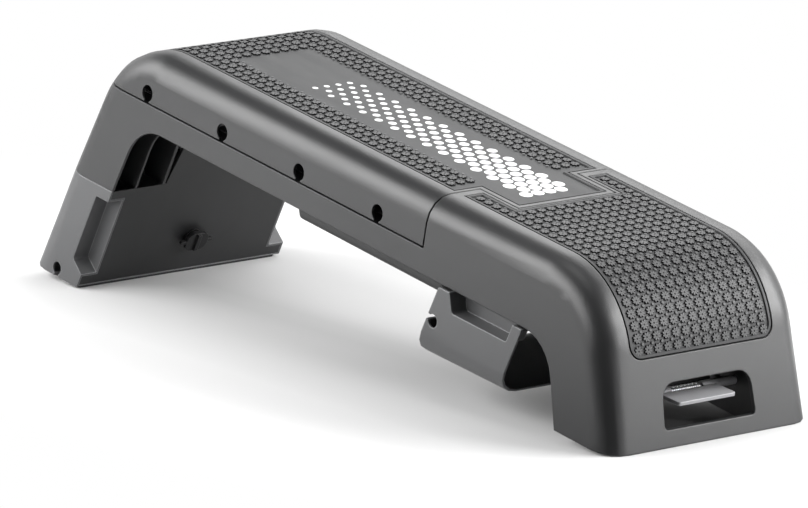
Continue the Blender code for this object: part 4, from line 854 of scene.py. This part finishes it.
# %% Shape a stud and close the tree
STUD_SIDES, STUD_TAPER, STUD_SHARE = 8, 0.75, 0.8
STUD_MAP = (2.0, 2.0, 1.0)
stud_rise = calc(tree, "MULTIPLY", wants["Tread Height"], STUD_SHARE)
stud = {
    "Vertices": STUD_SIDES,
    "Radius Bottom": wants["Stud Radius"],
    "Radius Top": calc(tree, "MULTIPLY", wants["Stud Radius"], STUD_TAPER),
    "Depth": calc(tree, "ADD", stud_rise, SINK),
}
stud = stored(add(tree, "GeometryNodeMeshCone", stud).outputs[0], STUD_MAP)
stud = {"Geometry": stud, "Translation": (0, 0, -SINK)}
stud = add(tree, "GeometryNodeTransform", stud).outputs[0]
both = add(tree, "GeometryNodeJoinGeometry")
tree.links.new(lay(0, rosette, wants["Rosette Radius"]), both.inputs[0])
tree.links.new(lay(1, stud, wants["Stud Radius"]), both.inputs[0])


def solid_end(tree, geometry, material, output):
    """End a tree: instances made real, coated, and sent to the output."""
    real = add(tree, "GeometryNodeRealizeInstances", {"Geometry": geometry}).outputs[0]
    coated = add(tree, "GeometryNodeSetMaterial", {"Geometry": real, "Material": material}).outputs[0]
    tree.links.new(coated, output)


solid_end(tree, both.outputs[0], wants["Rubber"], gives["Tread"])
print("tread tree:", len(tread_tree.nodes), "nodes")

# %% [markdown]
# ### Laying the treads
#
# The tree is run once for each mat, along a line of points on the skin. A run gives a plain mesh, which is turned to
# the deck's slope and rides with the mat under it. The seat's rows are counted from the nose's side and the back
# mat's from the foot of the end wall, where the photograph shows a whole row beside the border.


# %% Run a tree on a line
NOSE_STEPS = 48


def line_mesh(name, line):
    """A mesh of edges only, for Mesh to Curve."""
    mesh = bpy.data.meshes.new(name)
    mesh.from_pydata([(p.x, 0, p.y) for p in line], [(i, i + 1) for i in range(len(line) - 1)], [])
    return mesh


def run_tree(name, mesh, tree, **values):
    """Run a geometry tree on a mesh with inputs given by name, and return the resulting plain mesh."""
    carrier = carrier_for(mesh)
    modifier = carrier.modifiers.new("nodes", "NODES")
    modifier.node_group = tree
    sockets = [s for s in tree.interface.items_tree if s.in_out == "INPUT"]
    names = {s.name.replace(" ", "_").lower(): s.identifier for s in sockets}
    for key, value in values.items():
        modifier[names[key]] = value
    made = baked(carrier)
    made.name = name
    return made


def skin_line(start, stop, mirrored):
    """Points along the skin between two flat distances, thick on the nose."""
    steps = (nose_length * i / NOSE_STEPS for i in range(NOSE_STEPS + 1))
    places = sorted({start, stop} | {place for place in steps if start < place < stop})
    return [bend(along, 0, 0, mirrored).xz for along in places]


print("a line over the nose has", len(skin_line(0, nose_length, False)), "points")

# %% Lay the treads
EDGE_TO_ROW, SEAT_FIRST_ROW, BACK_LAST_ROW = 0.0108, 0.0130, 0.0120
SEAT_MAT_LOW, BACK_MAT_LOW, BACK_LOW_INSET = 0.1063, 0.1480, 0.06
SEAT_LINE_START, BACK_LINE_START, ON_THE_FLAT = -0.382, -0.402, -0.32
SEAT_BARE, BACK_BARE = (0.0866, -0.60, -0.3155), (0.0600, -0.924, -0.2)


def lay_tread(name, line, first, last, body, bare):
    """Lay a tread from the line's start or end, whichever has the row nearer to it."""
    length = sum((b - a).length for a, b in zip(line, line[1:]))
    rows = int((length - first - last) / PITCH) + 1
    start = first if first <= last else length - last - (rows - 1) * PITCH
    sizes = {
        "rows": rows,
        "columns": COLUMNS,
        "pitch": PITCH,
        "first_row": start,
        "rosette_radius": ROSETTE_RADIUS,
        "lobe_depth": LOBE_DEPTH,
        "tread_height": STEP_DOWN,
        "stud_radius": STUD_RADIUS,
        "ground": -STEP_DOWN,
        "rubber": mat_rubber,
    }
    sizes["bare_half_width"], sizes["bare_from"], sizes["bare_to"] = bare
    mesh = run_tree(name, line_mesh(name + "_line", line), tread_tree, **sizes)
    volume = outward(mesh)
    mesh.transform(deck)
    print(name, rows, "rows,", len(mesh.polygons), "faces, volume", round(volume * 1e6, 2), "ml")
    return as_piece(name, mesh, body, None)


seat_low = unbend(Vector((-END_SLOPE * SEAT_MAT_LOW, 0, SEAT_MAT_LOW)), False).x
seat_line = skin_line(SEAT_LINE_START - nose_centre.x, seat_low, False)
lay_tread("seat_tread", seat_line, SEAT_FIRST_ROW, EDGE_TO_ROW, "deck", SEAT_BARE)
back_low = unbend(Vector((-DECK_LENGTH + BACK_LOW_INSET, 0, BACK_MAT_LOW)), True).x
back_line = skin_line(ON_THE_FLAT, back_low, True)[:0:-1] + [Vector((BACK_LINE_START, DECK_HEIGHT))]
lay_tread("back_tread", back_line, EDGE_TO_ROW, BACK_LAST_ROW, "backrest", BACK_BARE)

# %% [markdown]
# ## The return springs
#
# A coil spring on each latch paddle's rod pushes the paddle back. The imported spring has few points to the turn, so
# Geometry Nodes wind a fuller one of the same size: a spiral with a round wire swept along it.

# %% Build the spring's tree
COIL_TURNS, COIL_RADIUS, WIRE_RADIUS = 8.0, 0.005, 0.0009
POINTS_TO_A_TURN, WIRE_SIDES = 24, 8
coil_tree, wants, gives = new_group(
    "return_spring",
    "GeometryNodeTree",
    [
        ("Seed", "Geometry"),
        ("Turns", "Float", COIL_TURNS),
        ("Coil Radius", "Float", COIL_RADIUS),
        ("Length", "Float", 0.05),
        ("Wire Radius", "Float", WIRE_RADIUS),
        ("Steel", "Material"),
    ],
    [("Spring", "Geometry")],
)
spiral = {
    "Resolution": POINTS_TO_A_TURN,
    "Rotations": wants["Turns"],
    "Start Radius": wants["Coil Radius"],
    "End Radius": wants["Coil Radius"],
    "Height": wants["Length"],
}
spiral = add(coil_tree, "GeometryNodeCurveSpiral", spiral).outputs[0]
ring = {"Resolution": WIRE_SIDES, "Radius": wants["Wire Radius"]}
ring = add(coil_tree, "GeometryNodeCurvePrimitiveCircle", ring, mode="RADIUS").outputs[0]
wire = {"Curve": spiral, "Profile Curve": ring, "Fill Caps": True}
wire = add(coil_tree, "GeometryNodeCurveToMesh", wire).outputs[0]
solid_end(coil_tree, wire, wants["Steel"], gives["Spring"])
print("spring tree:", len(coil_tree.nodes), "nodes")

# %% Wind the springs
sizes = {"turns": COIL_TURNS, "coil_radius": COIL_RADIUS, "wire_radius": WIRE_RADIUS, "steel": rod_steel}
for end in ("near", "far"):
    low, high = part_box(end + "_paddle_spring")
    seed = bpy.data.meshes.new("seed")
    seed.from_pydata([(0, 0, 0)], [], [])
    length = high.y - low.y - 2 * WIRE_RADIUS
    mesh = run_tree(end + "_return_spring", seed, coil_tree, length=length, **sizes)
    volume = outward(mesh)
    lying = Matrix.Rotation(math.pi / 2, 4, "X") @ Matrix.Translation((0, 0, -length / 2))
    mesh.transform(Matrix.Translation((low + high) / 2) @ lying)
    spring = end + "_paddle_spring"
    as_piece(end + "_return_spring", mesh, bodies_of[spring], None, [spring])
    print(end, "spring:", len(mesh.polygons), "faces, volume", round(volume * 1e6, 3), "ml")

# %% [markdown]
# ## A tie wall behind the latch
#
# Through the hand hole the hollow end looks almost black, because a thin wall hangs from the nose behind the latch
# paddle, between its two hooks. It is one plate with a shallow arch along its lower edge, so its outline is listed
# once as points and given its thickness by an extrusion. A Bevel modifier rounds its edges.

# %% Hang the tie wall
TIE_PLACE, TIE_THICKNESS, TIE_HALF, TIE_TOP, TIE_LOW = -0.0750, 0.0020, 0.0530, 0.1645, 0.0428
ARCH_RISE, ARCH_STEPS = 0.0015, 24
TIE_EDGE, TIE_EDGE_STEPS = 0.0004, 2


def tie_wall(name):
    """A thin arched plate across the hollow end."""
    turns = [math.pi * i / ARCH_STEPS for i in range(ARCH_STEPS + 1)]
    arch = [(TIE_HALF * math.cos(turn), TIE_LOW + ARCH_RISE * math.sin(turn)) for turn in turns]
    outline = [(-TIE_HALF, TIE_TOP), (TIE_HALF, TIE_TOP)] + arch
    form = bmesh.new()
    face = form.faces.new([form.verts.new((TIE_PLACE, y, z)) for y, z in outline])
    for made in bmesh.ops.extrude_face_region(form, geom=[face])["geom"]:
        if isinstance(made, bmesh.types.BMVert):
            made.co.x -= TIE_THICKNESS
    for vertex in form.verts:
        vertex.co = deck @ vertex.co
    bmesh.ops.recalc_face_normals(form, faces=form.faces)
    mesh = bpy.data.meshes.new(name)
    form.to_mesh(mesh)
    form.free()
    carrier = carrier_for(mesh)
    soften = carrier.modifiers.new("soften", "BEVEL")
    soften.width, soften.segments = TIE_EDGE, TIE_EDGE_STEPS
    mesh = baked(carrier)
    mesh.name = name
    volume = outward(mesh)
    print(name, "has", len(mesh.polygons), "faces and a volume of", round(volume * 1e6, 2), "ml")
    return as_piece(name, mesh, "deck", deck_plastic)


tie_wall("near_tie_wall")

# %% [markdown]
# ## The floor that the camera sees
#
# The step stands on a white sweep. Near the step the floor is matt paper that takes the shadow. Its tone is a little
# darker close beside the step than further off, as the photograph's soft shade is, and past that it fades to plain
# white, so that the sweep has no edge. Under the near end a soft dark patch stands for the unlit hollow that is seen
# through the hand hole. The whole floor is one square, and node arithmetic on its coordinates draws all of this.

# %% Lay the floor
FLOOR_HALF = 40
corners = [(-1, -1), (1, -1), (1, 1), (-1, 1)]
floor_mesh = bpy.data.meshes.new("floor")
floor_mesh.from_pydata([(FLOOR_HALF * x, FLOOR_HALF * y, 0) for x, y in corners], [], [(0, 1, 2, 3)])
floor = bpy.data.objects.new("floor", floor_mesh)
bpy.context.scene.collection.objects.link(floor)
sweep = bpy.data.materials.new("white_sweep")
sweep.use_nodes = True
tree = sweep.node_tree
tree.nodes.clear()
out = tree.nodes.new("ShaderNodeOutputMaterial")
rays = add(tree, "ShaderNodeLightPath").outputs
place = add(tree, "ShaderNodeTexCoord").outputs["Object"]
spot = split(tree, place)
print("the floor is", 2 * FLOOR_HALF, "m wide")


# %% Mix the paper, its shade and its fade to white
def glowing(tree, strength):
    """A white emission."""
    return add(tree, "ShaderNodeEmission", {"Color": grey(1), "Strength": strength}).outputs[0]


def matt(tree, colour):
    """A diffuse surface."""
    return add(tree, "ShaderNodeBsdfDiffuse", {"Color": colour}).outputs[0]


FADE_SHAPE, FADE_FROM, FADE_TO = (0.8, 1.6, 0.0), 0.62, 1.05
SHADE_SIDE, SHADE_END, SHADE_FROM, SHADE_TO = 0.03, 0.42, 0.02, 0.25
PAPER_IN_PAINTED_SHADOW, OPEN_PAPER, PAPER_LIFT = 0.38, 0.66, 0.05
PATCH_MIDDLE, PATCH_X, PATCH_Y, PATCH_EDGE, PAINTED_SHADOW_PATCH_GREY = (0.475, 0.06, 0.0), 0.085, 0.080, 0.015, 0.10
reach = calc_vector(tree, "LENGTH", calc_vector(tree, "MULTIPLY", place, FADE_SHAPE))
fade = ramp(tree, reach, FADE_FROM, FADE_TO, soft=True)
in_patch = calc_vector(tree, "ABSOLUTE", calc_vector(tree, "SUBTRACT", place, PATCH_MIDDLE))
in_patch = split(tree, in_patch)
past_x, past_y = calc(tree, "SUBTRACT", in_patch["X"], PATCH_X), calc(tree, "SUBTRACT", in_patch["Y"], PATCH_Y)
open_floor = ramp(tree, calc(tree, "MAXIMUM", past_x, past_y), -PATCH_EDGE, PATCH_EDGE, soft=True)
beside = calc(tree, "ABSOLUTE", calc(tree, "ADD", spot["Y"], SHADE_SIDE))
beyond = calc(tree, "SUBTRACT", calc(tree, "ABSOLUTE", spot["X"]), SHADE_END)
away = calc(tree, "MAXIMUM", beside, beyond)
# Painted shadow: the paper is made darker close beside the step.
paper = ramp(tree, away, SHADE_FROM, SHADE_TO, PAPER_IN_PAINTED_SHADOW, OPEN_PAPER)
# Painted shadow: the paper is dark grey in the patch under the near end.
paper = matt(tree, mix(tree, open_floor, grey(PAINTED_SHADOW_PATCH_GREY), paper))
lift = glowing(tree, calc(tree, "MULTIPLY", open_floor, PAPER_LIFT))
near_floor = add(tree, "ShaderNodeAddShader", {0: paper, 1: lift}).outputs[0]
shown = add(tree, "ShaderNodeMixShader", {0: fade, 1: near_floor, 2: glowing(tree, 1.0)}).outputs[0]
print("the paper's shade is", OPEN_PAPER, "in the open and", PAPER_IN_PAINTED_SHADOW, "beside the step")

# %% [markdown]
# ## The floor that the light meets
#
# Light Path's Is Camera Ray keeps that white to what the camera sees. For the light that bounces back up, the floor
# is a pale table behind and beside the step and almost black between the step and the camera: the photographer's
# dark cloth, which gives the near corner its deep shade. Glossy rays also meet the white sweep further to the sides,
# so the mouldings mirror it at a glance.

# %% Mix the table and join the two
TABLE_GREY, CLOTH_GREY, CLOTH_CORNER = 0.52, 0.01, (0.55, -0.17, 0.0)
CLOTH_FROM, CLOTH_TO = 0.45, 0.75
SWEEP_FROM, SWEEP_TO = 0.46, 0.64
to_camera = Vector((-forward.x, -forward.y, 0)).normalized()
from_corner = calc_vector(tree, "NORMALIZE", calc_vector(tree, "SUBTRACT", place, CLOTH_CORNER))
towards = calc_vector(tree, "DOT_PRODUCT", from_corner, to_camera)
cloth = ramp(tree, towards, CLOTH_FROM, CLOTH_TO, soft=True)
table = matt(tree, mix(tree, cloth, grey(TABLE_GREY), grey(CLOTH_GREY)))
mirrored_sweep = ramp(tree, calc(tree, "ABSOLUTE", spot["Y"]), SWEEP_FROM, SWEEP_TO, soft=True)
no_cloth = calc(tree, "SUBTRACT", 1.0, cloth)
mirrored_sweep = calc(tree, "MULTIPLY", mirrored_sweep, calc(tree, "MULTIPLY", rays["Is Glossy Ray"], no_cloth))
unseen = add(tree, "ShaderNodeAddShader", {0: table, 1: glowing(tree, mirrored_sweep)}).outputs[0]
whole_floor = {0: rays["Is Camera Ray"], 1: unseen, 2: shown}
tree.links.new(add(tree, "ShaderNodeMixShader", whole_floor).outputs[0], out.inputs["Surface"])
floor_mesh.materials.append(sweep)
print("the floor's material has", len(tree.nodes), "nodes")

# %% [markdown]
# ## The world
#
# The camera sees plain white. The light that the world sends is a low bright wall behind the step, which the mats
# and the round edges mirror at a glance. It weakens towards the floor, ends well below the zenith, and is nearly
# dark on the camera's side.

# %% Light the world
BACK_LIGHT, DARK_LIGHT = 1.55, 0.04
WALL_TOP_FROM, WALL_TOP_TO = 0.42, 0.62
WALL_FOOT_FROM, WALL_FOOT_TO, WALL_FOOT_LIGHT = 0.03, 0.24, 0.35
BEHIND_FROM, BEHIND_TO = -0.30, 0.20
world = bpy.data.worlds.new("studio")
bpy.context.scene.world = world
world.use_nodes = True
tree = world.node_tree
background = tree.nodes["Background"]
direction = add(tree, "ShaderNodeTexCoord").outputs["Generated"]
rise = split(tree, direction)["Z"]
low = ramp(tree, rise, WALL_TOP_FROM, WALL_TOP_TO, 1.0, 0.0, soft=True)
low = calc(tree, "MULTIPLY", low, ramp(tree, rise, WALL_FOOT_FROM, WALL_FOOT_TO, WALL_FOOT_LIGHT, 1.0))
level = calc_vector(tree, "NORMALIZE", calc_vector(tree, "MULTIPLY", direction, (1, 1, 0)))
towards = calc_vector(tree, "DOT_PRODUCT", level, to_camera)
behind = ramp(tree, towards, BEHIND_FROM, BEHIND_TO, 1.0, 0.0, soft=True)
wall_light = calc(tree, "MULTIPLY", low, behind)
wall_light = calc(tree, "MULTIPLY_ADD", wall_light, BACK_LIGHT - DARK_LIGHT, DARK_LIGHT)
rays = add(tree, "ShaderNodeLightPath").outputs
strength = mix(tree, rays["Is Camera Ray"], wall_light, 1.0, "FLOAT")
tree.links.new(strength, background.inputs["Strength"])
background.inputs["Color"].default_value = grey(1)
print("world:", len(tree.nodes), "nodes")

# %% [markdown]
# ## The lamps
#
# A large softbox behind and above draws the pale tops, a long one on the left lights the side and the legs, one on
# the right lights the near end, and a weak one overhead fills in. All are area lights, hidden from the camera.


# %% Light the studio
def softbox(name, place, target, size, power):
    """A rectangular area light that looks at a point."""
    light = bpy.data.lights.new(name, "AREA")
    light.shape = "RECTANGLE"
    light.size, light.size_y = size
    light.energy = power
    lamp = bpy.data.objects.new(name, light)
    bpy.context.scene.collection.objects.link(lamp)
    lamp.location = place
    lamp.rotation_euler = (Vector(target) - Vector(place)).to_track_quat("-Z", "Y").to_euler()
    lamp.visible_camera = False
    return lamp


softbox("overhead", (0.0, -0.3, 3.0), (0, 0, 0.2), (1.8, 1.0), 14)
softbox("back", (-0.30, 1.85, 1.95), (-0.1, 0, 0.2), (4.2, 1.2), 56)
softbox("left", (-0.75, -1.65, 1.15), (0.15, 0, 0.15), (3.4, 1.25), 94)
softbox("right", (1.75, 1.35, 1.05), (0.45, 0, 0.15), (1.7, 1.5), 93)
bpy.context.scene.view_settings.view_transform = "Standard"
